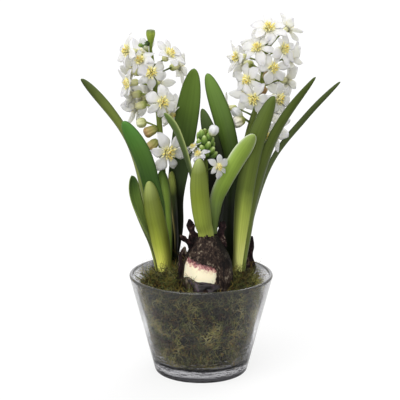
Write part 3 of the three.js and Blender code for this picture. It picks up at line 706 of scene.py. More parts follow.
def route_through(points, shares):
    """Points at the given shares of a centripetal spline's length, and their directions."""
    p = [np.asarray(q, float) for q in points]
    p = [2 * p[0] - p[1], *p, 2 * p[-1] - p[-2]]
    fine = []
    for a, b, c, d in zip(p, p[1:], p[2:], p[3:]):
        ab, bc, cd = (np.linalg.norm(v) ** 0.5 for v in (b - a, c - b, d - c))
        start = ((b - a) / ab - (c - a) / (ab + bc) + (c - b) / bc) * bc
        end = ((c - b) / bc - (d - b) / (bc + cd) + (d - c) / cd) * bc
        square, cube = 3 * (c - b) - 2 * start - end, 2 * (b - c) + start + end
        for w in np.linspace(0, 1, SPLINE_STEPS, endpoint=False):
            fine.append(b + start * w + square * w**2 + cube * w**3)
    fine = np.array([*fine, p[-2]])
    lengths = np.concatenate([[0], np.cumsum(np.linalg.norm(np.diff(fine, axis=0), axis=1))])
    shares = np.asarray(shares)
    behind, spots, ahead = (
        np.stack([np.interp((shares + step) * lengths[-1], lengths, column) for column in fine.T], 1)
        for step in (-1e-3, 0, 1e-3)
    )
    ways = ahead - behind
    return spots, ways / np.linalg.norm(ways, axis=1)[:, None]


def smooth_step(value, low, high):
    """A share from 0 to 1 that starts and stops gently between two values."""
    share = min(max((value - low) / (high - low), 0), 1)
    return share * share * (3 - 2 * share)


def leaf_width(widths, full_at, round_from, t):
    """Narrow where it leaves the neck, full by mid length, and rounded at the tip."""
    full = widths[0] + (widths[1] - widths[0]) * smooth_step(t, 0.05, full_at)
    rounding = max((t - round_from) / (1.0002 - round_from), 0)
    return full * max(1 - rounding**2.4, 0.0004) ** 0.5


def leaf_of(bulb, spec, seed):
    """Corners and faces of a leaf, with how far each corner lies along it and across it."""
    foot = np.array([*bulb["centre"], bulb["top"] - ROOT_DEPTH]) + outward(spec["root"][0]) * spec["root"][1]
    neck = foot + (np.array(spec["via"][0]) - foot) * 0.12
    neck[2] = bulb["top"] + 2
    shares = 1 - (1 - np.linspace(0, 1, LEAF_STATIONS)) ** 1.35
    spread = np.linspace(-1, 1, LEAF_COLUMNS)
    spread = np.sign(spread) * np.abs(spread) ** 0.9
    rings = []
    for t, centre, along in zip(shares, *route_through([foot, neck, *spec["via"]], shares)):
        sideways = np.cross(along, outward(spec["faces"][0] + (spec["faces"][1] - spec["faces"][0]) * t))
        sideways /= np.linalg.norm(sideways)
        back = np.cross(sideways, along)
        half = leaf_width(spec["widths"], spec.get("full_at", 0.5), spec.get("round_from", 0.74), t) / 2
        front_row, back_row = [], []
        for s in spread:
            thick = LEAF_EDGE + (LEAF_THICKNESS - LEAF_EDGE) * (1 - s * s) * min(1, half / 4)
            ripple = LEAF_RIPPLE * noise.noise(Vector((t * 7, seed * 5.3, s))) * abs(s) * min(1, half / 5)
            groove = LEAF_GROOVE * math.exp(-((s / 0.16) ** 2)) * min(1, half / 5)
            point = centre + sideways * s * half + back * (ripple - spec["cup"] * half * s * s)
            front_row.append(point + back * thick / 2)
            back_row.append(point - back * (thick / 2 - groove))
        rings.append(front_row + back_row[::-1])
    along = [*np.repeat(shares, 2 * LEAF_COLUMNS), 0, 1]
    across = [*np.tile([*spread, *spread[::-1]], LEAF_STATIONS), 0, 0]
    return *skinned(rings), along, across


def leaf_finish(name, stops, margin, shade=0.0, shade_above=0.25):
    """Living leaf: a waxy skin, satin rather than glossy, over soft green flesh. Fine veins run along it.

    `stops` are the paints from foot to tip, `margin` is the edge's, and `shade` is painted shade on one side:
    the right one if it is positive, where the leaf lay in its neighbour's shade. `shade_above` is the share
    of that painted shade which reaches the tip.
    """
    material, tree = new_finish(
        name, IOR=1.45, Specular_IOR_Level=0.22, Coat_Weight=0.05, Coat_Roughness=0.3
    )
    places = [add_node(tree, "ShaderNodeAttribute", attribute_name=key) for key in ("along", "across")]
    along, across = (place.outputs["Fac"] for place in places)
    mottle = object_noise(tree, 16, 3, (1, 1, 0.35))
    shifted = sum_of(tree, -0.1, (along, 1.0), (mottle, 0.2))
    body = add_node(tree, "ShaderNodeValToRGB", [shifted], stops)

    # Veins lie side by side, so their noise is drawn over the leaf's own width and hardly changes along it.
    on_leaf = add_node(tree, "ShaderNodeCombineXYZ", [sum_of(tree, 0.0, (across, LEAF_VEINS)), along])
    veins = add_node(tree, "ShaderNodeTexNoise", {"Vector": on_leaf, "Scale": 1.0, "Detail": 2.0})
    clear = sum_of(tree, 1.0, (along, -0.55))
    lit = add_node(tree, "ShaderNodeMath", [sum_of(tree, -1.8, (veins, 3.6)), clear], operation="MULTIPLY")
    blotch = object_noise(tree, 22, 2, (1, 1, 0.5))
    strength = sum_of(tree, 0.625, (lit, 0.275), (blotch, 0.75))
    body = add_node(tree, "ShaderNodeVectorMath", {0: body, "Scale": strength}, operation="SCALE")
    # Painted shade: one side of the leaf is darkened, most towards its foot.
    if shade:
        side = math.copysign(1, shade)
        dark = add_node(tree, "ShaderNodeMapRange", [across, 0.1 * side, 0.8 * side, 0.0, abs(shade)])
        low_down = add_node(tree, "ShaderNodeMapRange", [along, 0.45, 0.75, 1.0, shade_above])
        dark = add_node(tree, "ShaderNodeMath", [dark, low_down], operation="MULTIPLY")
        shaded = {0: dark, 6: body, 7: paint("171C0C")}
        body = add_node(tree, "ShaderNodeMix", shaded, data_type="RGBA").outputs[2]
    free_part = add_node(tree, "ShaderNodeMapRange", [along, 0.25, 0.6, 0.0, 0.7])
    edge = add_node(tree, "ShaderNodeMath", [across], operation="ABSOLUTE")
    edge = add_node(tree, "ShaderNodeMath", [edge, 9.0], operation="POWER")
    edge = add_node(tree, "ShaderNodeMath", [edge, free_part], operation="MULTIPLY")
    edged = add_node(tree, "ShaderNodeMix", {0: edge, 6: body, 7: paint(margin)}, data_type="RGBA")
    gloss = add_node(tree, "ShaderNodeMapRange", {"Value": mottle, "To Min": 0.34, "To Max": 0.5})
    dress(tree, edged.outputs[2], veins, 0.25, 0.6, Roughness=gloss)
    return material


LEAF_LOOKS = {
    # Painted highlight: the pale last stop at the tip.
    "yellow_foot": (
        "yellow-footed olive leaf",
        [
            (0.1, "E2E176"), (0.22, "C6C858"), (0.4, "939C38"), (0.6, "737E2A"), (0.82, "727D34"),
            (0.97, "98A45C"),
        ],
        "5C6626", 0.75,
    ),
    # Painted highlight: the pale last stop at the tip.
    "olive": (
        "olive strap leaf",
        [(0.04, "A4B052"), (0.3, "84923A"), (0.6, "6F7C28"), (0.84, "6C7930"), (0.97, "9CA866")],
        "5C6626", 0.25,
    ),
    "deep": (
        "deep green strap leaf",
        [(0.1, "8F9F45"), (0.3, "4C6728"), (0.66, "3B5724"), (0.84, "476828"), (0.98, "4C7A32")], "30481E",
    ),
    "short": (
        "folded strap leaf", [(0.1, "B0B856"), (0.45, "83964A"), (0.8, "6A853C"), (0.97, "3C5526")],
        "8FA055", 0.85,
    ),
    "outer": (
        "dark strap leaf", [(0.1, "6E7C36"), (0.5, "525F27"), (0.8, "5C6B2D"), (0.97, "4C5926")],
        "39461C", 0.4,
    ),
    # Painted shade: one side is darkened along nearly the whole leaf.
    "lying": (
        "two-toned strap leaf",
        [(0.1, "6E7C36"), (0.6, "76833A"), (0.85, "6F7D38"), (0.97, "3E4A20")], "4A5624", -0.95, 0.9,
    ),
    "narrow": (
        "narrow strap leaf",
        [(0.1, "5F702C"), (0.5, "7A943A"), (0.8, "849F44"), (0.97, "4C6628")], "22300F", 0.85, 0.5,
    ),
    # Painted shade over the body, and a painted highlight in the pale stop where the tip is lit.
    "inner": (
        "shaded inner leaf",
        [(0.05, "0C0F07"), (0.6, "10140A"), (0.78, "333D1C"), (0.9, "8E9A4A")], "A89C5C",
    ),
    # Painted shade: the near-black lower stops stand for the shade at the foot of the leaf.
    "tall": (
        "tall strap leaf, dark at its foot",
        [(0.05, "0C0F07"), (0.38, "10150A"), (0.56, "42552A"), (0.78, "536A2A"), (0.97, "5A722C")], "33431C",
    ),
    "edged": (
        "white-edged strap leaf",
        [(0.05, "4F5F2C"), (0.32, "586B2E"), (0.55, "7F983C"), (0.84, "88A044"), (0.97, "8CA052")], "E6EADA",
    ),
    "shaded": (
        "leaf in the shade of its neighbours",
        [(0.05, "0E1209"), (0.45, "12170C"), (0.72, "20280F"), (0.97, "46582A")], "10140A",
    ),
    "spring": (
        "dark green strap leaf", [(0.1, "303C1A"), (0.5, "3A4A20"), (0.8, "465A26"), (0.97, "4E6428")],
        "9FA86A", 0.3,
    ),
    "pale_foot": (
        "pale-footed strap leaf",
        [(0.1, "DCDF84"), (0.24, "BCC660"), (0.38, "97A548"), (0.5, "5F6D2C"), (0.95, "5C6D2C")],
        "384520", -0.8,
    ),
    "arching": ("grey-green strap leaf", [(0.1, "66743A"), (0.5, "566336"), (0.97, "4C592C")], "3A4622", 0.3),
    # Painted shade: the near-black lower stops stand for the shade at the foot of the leaf.
    "right_tall": (
        "bright strap leaf, dark at its foot",
        [(0.05, "0E1209"), (0.36, "12170B"), (0.52, "2C3B1A"), (0.7, "425620"), (0.97, "607C34")],
        "2C3B18", -0.3,
    ),
}
leaf_finishes = {look: leaf_finish(*values) for look, values in LEAF_LOOKS.items()}

for i, (name, spec) in enumerate(LEAVES.items()):
    corners, faces, along, across = leaf_of(BULBS[name.split("_")[0]], spec, i)
    finish = leaf_finishes[spec["look"]]
    blade = piece_of(f"leaf_{name}_blade", corners, faces, finish, along=along, across=across)
    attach(blade, "root")
    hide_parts(f"leaf_{name}")


# The flower stems
# Each head grows on one round, fleshy green stem out of the middle of its bulb. A short stalk springs from
# the stem for every floret and bud.

STEMS = {
    "left": {
        "radius": 3.6,
        "route": [(-36, 6, 95), (-38, 7, 160), (-40, 9, 220), (-44, 10, 275), (-51, 10, 333)],
    },
    "middle": {"radius": 2.6, "route": [(6, -29, 141), (6, -28, 180), (5, -26, 220), (4, -23, 260)]},
    "right": {
        "radius": 3.6,
        "route": [(38, 6, 95), (41, 7, 181), (47, 8, 245), (60, 10, 292), (67, 10, 342)],
    },
}
# Open florets: height of the mouth, bearing, reach from the stem, tilt above level, size, and roll, which is
# the turn of the first petal seen from the front.
FLORETS = {
    "left": [
        (337, 205, 26, 12, 0.95, 50), (328.5, 240, 21, 42, 0.85, 30), (335, 322, 25, 42, 0.95, 57),
        (317, 268, 25, 4, 0.95, 36), (318, 30, 31, 6, 0.95, 20), (304.5, 205, 29, -2, 0.95, 7),
        (289, 166, 27, -14, 1, 40), (287, 286, 26, 0, 0.97, 46), (273, 335, 16, -35, 0.9, 10),
        (277, 165, 25, -16, 1.12, 25), (234.5, 290, 23, -8, 1.18, 12),
    ],
    "right": [
        (360, 275, 10, 50, 1, 32), (357, 35, 26, 30, 0.95, 15), (341, 240, 21, 34, 0.95, 25),
        (330, 196, 30.5, 0, 0.92, 50), (339.5, 316, 23, 16, 0.92, 5), (322, 287, 27, 5, 0.92, 22),
        (308.5, 230, 26, 0, 0.9, 2), (326, 36, 34, 2, 0.95, 30), (303, 30, 31, -8, 0.95, 12),
        (290.5, 255, 28, -4, 0.96, 47), (289.5, 314, 28, -6, 0.95, 31), (276, 166, 30, 0, 0.9, 20),
        (252, 313, 22, -10, 0.95, 30), (249, 24, 32, -26, 1.05, 40),
    ],
    "middle": [(244, 196, 13, 60, 0.56, 30), (238.5, 238, 14, 50, 0.58, 10), (227, 302, 24, 10, 0.65, 55)],
}
# The far side of a head, where the florets wind up the stem.
FAR_SIDE = {
    "left": {"from": 268, "rise": 15, "bearing": 60, "reach": 27},
    "right": {"from": 270, "rise": 17, "bearing": 50, "reach": 27},
}
FAR_COUNT, FAR_TURN, FAR_SWING, FAR_ROLL = 5, 62, 96, 23
FAR_TILTS = (-14, 30)  # the lowest floret's tilt, and what is added to it on the way up
# Closed buds: height of the tip, bearing, reach, tilt, length, radius and kind.
BUDS = {
    "left": [
        (357, 270, 0.5, 86, 25, 4.8, "club"), (349, 182, 10, 64, 15, 3.7, "white"),
        (341, 186, 13, -12, 13, 3.3, "green"), (261.5, 190, 24, -8, 11, 5.2, "round"),
        (251, 198, 17, -22, 15, 5.7, "tan"), (234, 206, 16.5, -40, 16, 6, "tan"),
    ],
    "right": [
        (278, 205, 27, 40, 14, 4.8, "white"), (263, 212, 24, -14, 16, 6.4, "olive"),
        (313, 296, 11, 24, 12, 4.4, "tan"), (295, 286, 11, -24, 13, 4.8, "tan"),
    ],
    "middle": [(266, 318, 14, 62, 12, 5.2, "white")],
}
# The young head's green buds wind up to its tip, from the first value to the second.
GREEN_BUDS = {"height": (238, 263), "reach": (12, 6), "tilt": (34, 82)}
GREEN_COUNT, GREEN_LENGTH, GREEN_RADIUS = 22, 13, 3.6
GOLDEN_ANGLE = 137.5
TUBE_LENGTH = 12  # a floret's tube, at size 1
STALK_RADIUS, STALK_CLIMB, STALK_STATIONS = 0.95, 7, 9

for side, rule in FAR_SIDE.items():
    for i in range(FAR_COUNT):
        bearing = rule["bearing"] + (i * FAR_TURN) % FAR_SWING
        tilt = FAR_TILTS[0] + FAR_TILTS[1] * i / FAR_COUNT
        FLORETS[side].append((rule["from"] + i * rule["rise"], bearing, rule["reach"], tilt, 1, FAR_ROLL * i))
for i in range(GREEN_COUNT):
    height, reach, tilt = (low + (high - low) * i / (GREEN_COUNT - 1) for low, high in GREEN_BUDS.values())
    BUDS["middle"].append((height, i * GOLDEN_ANGLE, reach, tilt, GREEN_LENGTH, GREEN_RADIUS, "green"))


def stem_at(side, z):
    """The point on a stem's line at a height."""
    spots, _ = route_through(STEMS[side]["route"], np.linspace(0, 1, 400))
    return np.array([np.interp(z, spots[:, 2], spots[:, n]) for n in range(2)] + [z])


def setting(side, height, bearing, reach, tilt, length):
    """Where a floret or bud sits: its foot, and the direction in which it looks."""
    look = outward(bearing) * math.cos(math.radians(tilt)) + np.array([0, 0, math.sin(math.radians(tilt))])
    return stem_at(side, height) + outward(bearing) * reach - look * length, look


def tube_along(spots, ways, radii, sides):
    """A closed round tube along a line."""
    rings = []
    for spot, way, radius in zip(spots, ways, radii):
        side_way = np.cross(way, (0.31, 0.95, 0.02))
        side_way /= np.linalg.norm(side_way)
        up_way = np.cross(way, side_way)
        turns = np.linspace(0, math.tau, sides, endpoint=False)
        rings.append([spot + radius * (math.cos(t) * side_way + math.sin(t) * up_way) for t in turns])
    return skinned(rings)


def stalk_to(side, foot, look):
    """The stalk of one floret, from inside the stem up into the flower's foot."""
    start = stem_at(side, min(foot[2], STEMS[side]["route"][-1][2]) - STALK_CLIMB)
    end = foot + look * 1.2
    middle = start + (foot - start) * 0.6 - look * 1.5
    shares = np.linspace(0, 1, STALK_STATIONS)[:, None]
    spots = start * (1 - shares) ** 2 + middle * 2 * shares * (1 - shares) + end * shares**2
    radii = STALK_RADIUS * (1.15 - 0.35 * np.sin(np.linspace(0, math.pi, STALK_STATIONS)))
    return tube_along(spots, np.gradient(spots, axis=0), radii, 8)


floret_places = {
    side: [setting(side, *floret[:4], TUBE_LENGTH * floret[4]) for floret in florets]
    for side, florets in FLORETS.items()
}
bud_places = {side: [setting(side, *bud[:5]) for bud in buds] for side, buds in BUDS.items()}

# Stem flesh: juicy, smooth and bright green, streaked lighter and darker along its length, with a soft shine.
stem_green, tree = new_finish("flower stem", IOR=1.45, Roughness=0.42, Specular_IOR_Level=0.3)
streaks = object_noise(tree, 9, 3, (1, 1, 0.3))
stem_stops = [(0.35, "46541F"), (0.5, "66742C"), (0.65, "84913F")]
ridges = object_noise(tree, 0.8, 2, (1, 1, 0.08))
dress(tree, add_node(tree, "ShaderNodeValToRGB", [streaks], stem_stops), ridges, 0.15)

for side, stem in STEMS.items():
    shares = np.linspace(0, 1, 48)
    parts = [tube_along(*route_through(stem["route"], shares), stem["radius"] * (1 - 0.3 * shares), 20)]
    parts += [stalk_to(side, *place) for place in floret_places[side] + bud_places[side]]
    stalked = piece_of(f"flower_head_{side}_stem", *joined(parts), stem_green)
    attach(stalked, "root")


# The florets
# Each is one waxy white flower: a swollen tube that opens into six broad tepals, which bend back at their
# tips. Its tube sits on a stalk. No two open alike.

PETAL = {"reach": 15.2, "half": 5.6, "notch": 4.3, "sheet": 0.5}
PETAL_COLUMNS, PETAL_ROWS = 7, 10
# For each kind of floret: the lift of its outer and inner tepals, how far they curl back, and their spread.
FLORET_KINDS = [(-2, 14, 26, 16), (10, 26, 20, 14), (-10, 8, 34, 18), (20, 36, 14, 14)]
FRONT, ASIDE = 270, 42  # florets turned further than ASIDE from the front are less open, and show their tubes
MOUTH = 0.42  # where the tube ends and the free tepals start, as a share of the whole
TUBE_PROFILE = [
    (0, -0.4), (1.1, 0), (2.7, 0.9), (3.8, 2.5), (4.0, 4.2), (3.6, 6.4), (3.3, 8.4), (3.7, 10.4), (4.5, 11.9),
    (4.2, 12.2), (3.2, 11.0), (2.3, 9.2), (0, 8.4),
]


def tepal(turn, lift, curl, reach, half, phase):
    """One tepal as a thin closed sheet, with how far each corner lies from the tube's foot to the tip."""
    rings = []
    cos, sin = math.cos(turn), math.sin(turn)
    r, z = PETAL["notch"] - 1.3, TUBE_LENGTH - 1.9
    steps = np.linspace(0, 1, PETAL_ROWS)
    for q, step in zip(steps, [0, *np.diff(steps)]):
        opening = (62 - lift) * (1 - smooth_step(q, 0, 0.22))
        angle = math.radians(lift + opening - curl * smooth_step(q, 0.3, 1) * 1.6)
        r += step * (reach + 2.2) * math.cos(angle)
        z += step * (reach + 2.2) * math.sin(angle)
        rounding = max((q - 0.5) / 0.5002, 0)
        width = half * (0.5 + 0.52 * smooth_step(q, 0.08, 0.5)) * max(1 - rounding**1.55, 0.006) ** 0.68
        front, rear = [], []
        for s in np.linspace(-1, 1, PETAL_COLUMNS):
            lifted = 0.1 * half * s * s * q - 0.28 * math.exp(-((s / 0.25) ** 2))
            wave = 0.8 * math.sin(q * 8 + phase + s) * s**3 * q
            thick = PETAL["sheet"] * (1 - 0.55 * s * s) / 2
            for row, side_of in ((front, thick), (rear, -thick)):
                out = r - math.sin(angle) * (lifted + wave + side_of)
                up = z + math.cos(angle) * (lifted + wave + side_of)
                w = s * width
                row.append((out * cos - w * sin, out * sin + w * cos, up))
        rings.append(front + rear[::-1])
    alongs = np.repeat(MOUTH + (1 - MOUTH) * steps, 2 * PETAL_COLUMNS)
    return *skinned(rings), [*alongs, MOUTH, 1.0]


def floret_of(kind, draw):
    """A whole floret looking along +Z, with its tube's foot at the origin."""
    outer, inner, curl, spread = FLORET_KINDS[kind]
    corners, faces = spun(TUBE_PROFILE, 24)
    up = corners[:, 2] / TUBE_LENGTH
    turns = np.arctan2(corners[:, 1], corners[:, 0])
    corners[:, :2] *= (1 + 0.05 * np.cos(6 * turns) * np.clip(up, 0, 1))[:, None]
    parts, alongs = [(corners, faces)], [np.clip(up * MOUTH, 0, MOUTH)]
    for i in range(6):
        is_inner = i % 2
        lift = (inner if is_inner else outer) + draw.uniform(-spread, spread)
        reach = PETAL["reach"] * (0.96 if is_inner else 1) * draw.uniform(0.86, 1.12)
        half = PETAL["half"] * (0.86 if is_inner else 1.06) * draw.uniform(0.78, 1.12)
        turn = i * math.pi / 3 + draw.uniform(-0.13, 0.13)
        *sheet, along = tepal(turn, lift, curl * draw.uniform(0.7, 1.3), reach, half, draw.uniform(0, 6))
        parts.append(sheet)
        alongs.append(along)
    return *joined(parts), np.concatenate(alongs)


def kept_aside(name, pieces):
    """A collection of pieces that a tree sets out, in order, and that isn't shown itself."""
    group = bpy.data.collections.new(name)
    for piece in pieces:
        bpy.context.scene.collection.objects.unlink(piece)
        group.objects.link(piece)
    return group


def raceme_tree():
    """Sets out flower parts on points, each turned and sized as its point says, then bends each a little."""
    sockets = {"Parts": "Collection", "Sway": "Float", "Crumple": "Float", "Material": "Material"}
    tree, given = tree_with("raceme", sockets)
    told = {
        name: add_node(tree, "GeometryNodeInputNamedAttribute", {"Name": name}, data_type=kind)
        for name, kind in (("turn", "FLOAT_VECTOR"), ("size", "FLOAT"), ("kind", "INT"), ("along", "FLOAT"))
    }
    stock = {"Collection": given["Parts"], "Separate Children": True, "Reset Children": True}
    parts = add_node(tree, "GeometryNodeCollectionInfo", stock)
    on_points = {"Points": given["Geometry"], "Instance": parts, "Pick Instance": True}
    on_points |= {"Instance Index": told["kind"], "Rotation": told["turn"], "Scale": told["size"]}
    set_out = add_node(tree, "GeometryNodeInstanceOnPoints", on_points)
    bent = add_node(tree, "GeometryNodeRealizeInstances", [set_out])
    free = add_node(tree, "ShaderNodeMapRange", [told["along"], MOUTH, 1.0])
    for size, amount in ((55.0, given["Sway"]), (210.0, given["Crumple"])):
        pattern = add_node(tree, "ShaderNodeTexNoise", {"Scale": size, "Detail": 0.0}).outputs["Color"]
        bent = stirred(tree, bent, pattern, sum_of(tree, 0.0, (free, amount)))
    return finished(tree, add_node(tree, "GeometryNodeSetShadeSmooth", [bent]), given["Material"])


def raceme_points(name, side, kinds):
    """Bare points for the florets of a head, with the turn, size and kind of the part that sits on each."""
    feet, looks = zip(*floret_places[side])
    piece = piece_of(name, feet, [], None)
    up, turns, sizes = Vector((0, 0, 1)), [], []
    for look, (_, _, _, _, size, roll) in zip(looks, FLORETS[side]):
        rolled = Quaternion(up, math.radians(roll))
        turns += (up.rotation_difference(Vector(look)) @ rolled).to_euler()
        sizes.append(size)
    values = piece.data.attributes
    values.new("turn", "FLOAT_VECTOR", "POINT").data.foreach_set("vector", np.array(turns, np.float32))
    values.new("size", "FLOAT", "POINT").data.foreach_set("value", np.array(sizes, np.float32))
    values.new("kind", "INT", "POINT").data.foreach_set("value", np.array(kinds, np.int32))
    return piece


# Hyacinth tepal: thick, waxy and white, a little see-through at the edge. The tube is cream, and olive at
# its foot.
white_tepal, tree = new_finish(
    "white tepal",
    Roughness=0.5,
    IOR=1.4,
    Subsurface_Weight=0.75,
    Subsurface_Radius=(0.005, 0.005, 0.004),
    Subsurface_Scale=1.0,
)
along = add_node(tree, "ShaderNodeAttribute", attribute_name="along").outputs["Fac"]
shifted = sum_of(tree, -0.08, (along, 1.0), (object_noise(tree, 7, 2), 0.16))
tepal_stops = [
    (0.0, "8E9A4C"), (0.07, "B9BC7A"), (0.18, "D3D2A2"), (0.36, "DCD9A8"), (0.48, "E2DFC0"), (0.62, "E0DED6"),
    (1.0, "DBD9DA"),
]
dress(tree, add_node(tree, "ShaderNodeValToRGB", [shifted], tepal_stops), object_noise(tree, 1.1, 2), 0.08)

raceme = raceme_tree()
draw = np.random.default_rng(4)
floret_stock = []
for kind in range(2 * len(FLORET_KINDS)):
    corners, faces, along = floret_of(kind % len(FLORET_KINDS), draw)
    floret_stock.append(piece_of(f"floret_{kind}", corners, faces, None, along=along))
floret_stock = kept_aside("florets", floret_stock)

for side, florets in FLORETS.items():
    # Neighbours differ: every second one is of another kind, and every second pair of another draw.
    kinds = [2 * (i % 2) + (abs(f[1] - FRONT) > ASIDE) + 4 * (i // 2 % 2) for i, f in enumerate(florets)]
    points = raceme_points(f"flower_head_{side}_florets", side, kinds)
    looks = {"Parts": floret_stock, "Sway": 6 * MM, "Crumple": 1.4 * MM, "Material": white_tepal}
    head = grown(points, raceme, **looks)
    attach(head, "root")
    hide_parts(f"flower_head_{side}")


# The anthers
# A ragged yellow boss fills the mouth of every open floret. It is made of anthers on short threads, which
# are dusted with orange pollen.

ANTHERS = [(5.4, 13.9, 10, 66, 0.1), (3.6, 15.0, 8, 42, 0.3), (1.6, 15.9, 4, 14, 0.6)]
# In each ring above: its radius and height, the anthers' count, their lean and their tone.
ANTHER_LENGTH, ANTHER_RADIUS, THREAD_RADIUS = 3.6, 0.62, 0.28
BOSS_COUNT = 3  # different bosses


def boss_of(draw):
    """The anthers and threads of one floret, with each one's tone."""
    parts, tones = [], []
    for ring, height, count, lean, tone in ANTHERS:
        for i in range(count):
            turn = math.tau * (i + draw.uniform(-0.3, 0.3)) / count
            out = np.array([math.cos(turn), math.sin(turn), 0])
            centre = out * ring * draw.uniform(0.75, 1.2) + np.array([0, 0, height + draw.uniform(-0.7, 0.7)])
            slope = math.radians(lean + draw.uniform(-14, 14))
            way = out * math.sin(slope) + np.array([0, 0, math.cos(slope)])
            shares = np.linspace(-0.5, 0.5, 6)
            spots = [centre + way * ANTHER_LENGTH * s for s in shares]
            rounded = np.sqrt(np.clip(1.02 - (2 * shares) ** 2, 0.05, 1))
            radii = ANTHER_RADIUS * rounded * draw.uniform(0.8, 1.25)
            parts.append(tube_along(spots, [way] * 6, radii, 6))
            own = min(max(tone + draw.uniform(-0.3, 0.3), 0), 1)
            tones.append(np.full(len(parts[-1][0]), own))
            root = out * 1.2 + np.array([0, 0, 8.8])
            line = [root + (centre - root) * s for s in (0, 0.5, 1)]
            parts.append(tube_along(line, [centre - root] * 3, [THREAD_RADIUS] * 3, 4))
            tones.append(np.zeros(len(parts[-1][0])))
    return *joined(parts), np.concatenate(tones)


# Pollen: bright, powdery yellow with orange grains, no shine.
pollen, tree = new_finish("yellow pollen", Roughness=0.8, Specular_IOR_Level=0.2)
tone = add_node(tree, "ShaderNodeAttribute", attribute_name="tone").outputs["Fac"]
grains = sum_of(tree, -0.3, (tone, 1.0), (object_noise(tree, 0.9, 2), 0.6))
pollen_stops = [(0.0, "EFE9B0"), (0.35, "E8DA7C"), (0.72, "DFC455"), (1.0, "CF9440")]
dress(tree, add_node(tree, "ShaderNodeValToRGB", [grains], pollen_stops))

boss_stock = []
for kind in range(BOSS_COUNT):
    corners, faces, tone = boss_of(draw)
    boss_stock.append(piece_of(f"boss_{kind}", corners, faces, None, tone=tone))
boss_stock = kept_aside("bosses", boss_stock)

for side, florets in FLORETS.items():
    kinds = [i % BOSS_COUNT for i in range(len(florets))]
    points = raceme_points(f"flower_head_{side}_anthers", side, kinds)
    looks = {"Parts": boss_stock, "Sway": 0.0, "Crumple": 0.0, "Material": pollen}
    anthers = grown(points, raceme, **looks)
    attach(anthers, "root")


# The buds
# Florets that haven't opened: green and hard at first, then swollen and cream, each on its stalk. The seams
# of the six tepals folded in it show as grooves.

BUD_SHAPES = {  # (radius, height) as shares
    "club": [
        (0, 0), (0.3, 0.01), (0.3, 0.22), (0.42, 0.42), (0.74, 0.62), (0.97, 0.78), (1, 0.9), (0.88, 0.98),
        (0.5, 1), (0, 0.985),
    ],
    "white": [(0, 0), (0.35, 0.02), (0.75, 0.2), (0.95, 0.45), (1, 0.65), (0.82, 0.85), (0.45, 0.96), (0, 1)],
    "green": [
        (0, 0), (0.4, 0.02), (0.78, 0.16), (0.98, 0.36), (0.97, 0.55), (0.78, 0.76), (0.46, 0.92),
        (0.22, 0.98), (0, 1),
    ],
    "round": [(0, 0), (0.5, 0.04), (0.87, 0.2), (1, 0.45), (0.92, 0.75), (0.55, 0.96), (0, 1)],
    "olive": [(0, 0), (0.4, 0.02), (0.8, 0.2), (1, 0.5), (0.9, 0.78), (0.5, 0.96), (0, 1)],
    "tan": [(0, 0), (0.45, 0.02), (0.8, 0.25), (0.9, 0.55), (1, 0.8), (0.7, 0.97), (0, 1)],
}
BUD_STOPS = {
    "club": [(0.0, "4A5F24"), (0.5, "748A2E"), (0.85, "8A9C38"), (1.0, "56662A")],
    "white": [(0.0, "98A25A"), (0.25, "C6CAA0"), (0.5, "D2D3D0"), (1.0, "CBCCCE")],
    # The green buds run from near black at the foot to pale at the tip.
    "green": [(0.0, "10180A"), (0.32, "2F4417"), (0.6, "55722A"), (0.85, "7C9640"), (1.0, "B9C58C")],
    "round": [(0.0, "9BA35A"), (0.5, "C2C58C"), (1.0, "D9DBB4")],
    "olive": [(0.0, "6F7C34"), (0.34, "8E9348"), (0.5, "D2CDB0"), (0.86, "E8E4DA"), (1.0, "8F7884")],
    "tan": [(0.0, "76803A"), (0.35, "9E9A58"), (0.7, "B3A066"), (1.0, "A9845A")],
}
BUD_SIDES, BUD_RINGS = 36, 15
SEAM_DEPTH, SEAM_WIDTH = 0.2, 0.13


def bud_of(kind):
    """A bud one unit long and one in radius, with how far each corner lies up it."""
    shares = np.linspace(0, 1, BUD_RINGS)
    knots = np.linspace(0, 1, len(BUD_SHAPES[kind]))
    profile = list(zip(*[np.interp(shares, knots, column) for column in zip(*BUD_SHAPES[kind])]))
    corners, faces = spun(profile, BUD_SIDES)
    turns = np.arctan2(corners[:, 1], corners[:, 0])
    off_seam = np.abs(np.mod(6 * turns / math.tau, 1) - 0.5) - 0.5
    corners[:, :2] *= (1.03 - SEAM_DEPTH * np.exp(-((off_seam / SEAM_WIDTH) ** 2)))[:, None]
    return corners, faces, corners[:, 2]


for side, buds in BUDS.items():
    for kind in BUD_SHAPES:
        mine = [(bud, place) for bud, place in zip(buds, bud_places[side]) if bud[6] == kind]
        if not mine:
            continue
        # Bud skin: waxy and smooth, with a soft shine, in the colour of its age.
        finish, tree = new_finish(f"{kind} bud, {side}", Roughness=0.45, IOR=1.42)
        share = add_node(tree, "ShaderNodeAttribute", attribute_name="along").outputs["Fac"]
        painted = add_node(tree, "ShaderNodeValToRGB", [share], BUD_STOPS[kind])
        dress(tree, painted, object_noise(tree, 1.2, 2), 0.1)
        corners, faces, along = bud_of(kind)
        parts = []
        for (_, _, _, _, length, radius, _), (foot, look) in mine:
            turn = Vector((0, 0, 1)).rotation_difference(Vector(look))
            placed = [np.array(turn @ Vector(c * (radius, radius, length))) + foot for c in corners]
            parts.append((placed, faces))
        alongs = np.tile(along, len(mine))
        bud = piece_of(f"flower_head_{side}_{kind}_buds", *joined(parts), finish, along=alongs)
        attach(bud, "root")


# The studio
# A pale light table without an edge, an even surround that is brightest overhead, a broad soft lamp above the
# camera's left and a weaker one behind. The table glows a little, so it stays white under the plants' shade.

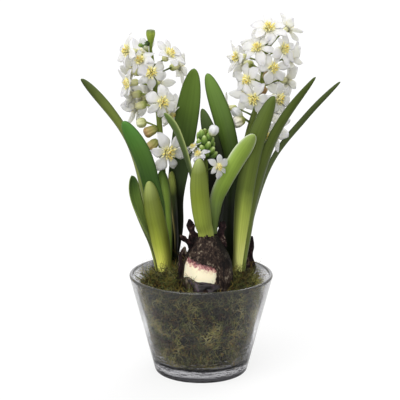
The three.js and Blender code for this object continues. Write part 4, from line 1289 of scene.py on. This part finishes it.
TABLE_HALF, TABLE_GLOW = 7000, 0.66
GLOOM, SKY = (-0.58, 0.16), (-0.3, 0.85)  # how far down the surround looks, and its strength there
LAMPS = [("front_lamp", (0.45, 0.85, -1.0), 2.3, 70), ("back_lamp", (-0.5, -0.9, -1.2), 1.0, 45)]
CAMERA_DISTANCE, CAMERA_PITCH, CAMERA_LENS, CAMERA_FILM = 1500, 12.9, 131.04, 36
AIM = Vector((-1.13, 0, 182.8))

table_finish, _ = new_finish(
    "light table",
    Base_Color=paint("8A8A8A"),
    Roughness=1.0,
    Specular_IOR_Level=0.0,
    Emission_Color=(1, 1, 1, 1),
    Emission_Strength=TABLE_GLOW,
)
table_corners = [(x * TABLE_HALF, y * TABLE_HALF, 0) for x, y in ((-1, -1), (1, -1), (1, 1), (-1, 1))]
table = piece_of("light_table", table_corners, [(0, 1, 2, 3)], table_finish)
table.visible_diffuse = False  # its glow doesn't flatten the shade deep among the leaves
table.visible_glossy = False  # nor does it lie as a grey veil on the front of the glass

scene = bpy.context.scene
scene.world = bpy.data.worlds.new("studio surround")
scene.world.use_nodes = True
tree = scene.world.node_tree
way = add_node(tree, "ShaderNodeTexCoord").outputs["Generated"]
up = add_node(tree, "ShaderNodeSeparateXYZ", [way]).outputs["Z"]
light = add_node(tree, "ShaderNodeMapRange", [up, GLOOM[0], SKY[0], GLOOM[1], SKY[1]])
tree.links.new(light.outputs[0], tree.nodes["Background"].inputs["Strength"])
tree.nodes["Background"].inputs["Color"].default_value = (1, 1, 1, 1)

for name, direction, energy, spread in LAMPS:
    lamp = bpy.data.lights.new(name, "SUN")
    lamp.energy, lamp.angle = energy, math.radians(spread)
    stand = bpy.data.objects.new(name, lamp)
    stand.rotation_euler = Vector(direction).to_track_quat("-Z", "Y").to_euler()
    scene.collection.objects.link(stand)
scene.view_settings.view_transform = "Standard"

camera = bpy.data.cameras.new("camera")
camera.sensor_width, camera.lens = CAMERA_FILM, CAMERA_LENS
pitch = math.radians(CAMERA_PITCH)
camera_stand = bpy.data.objects.new("camera", camera)
camera_stand.location = (AIM + CAMERA_DISTANCE * Vector((0, -math.cos(pitch), math.sin(pitch)))) * MM
camera_stand.rotation_euler = (math.pi / 2 - pitch, 0, 0)
scene.collection.objects.link(camera_stand)
scene.camera = camera_stand

bpy.context.view_layer.update()
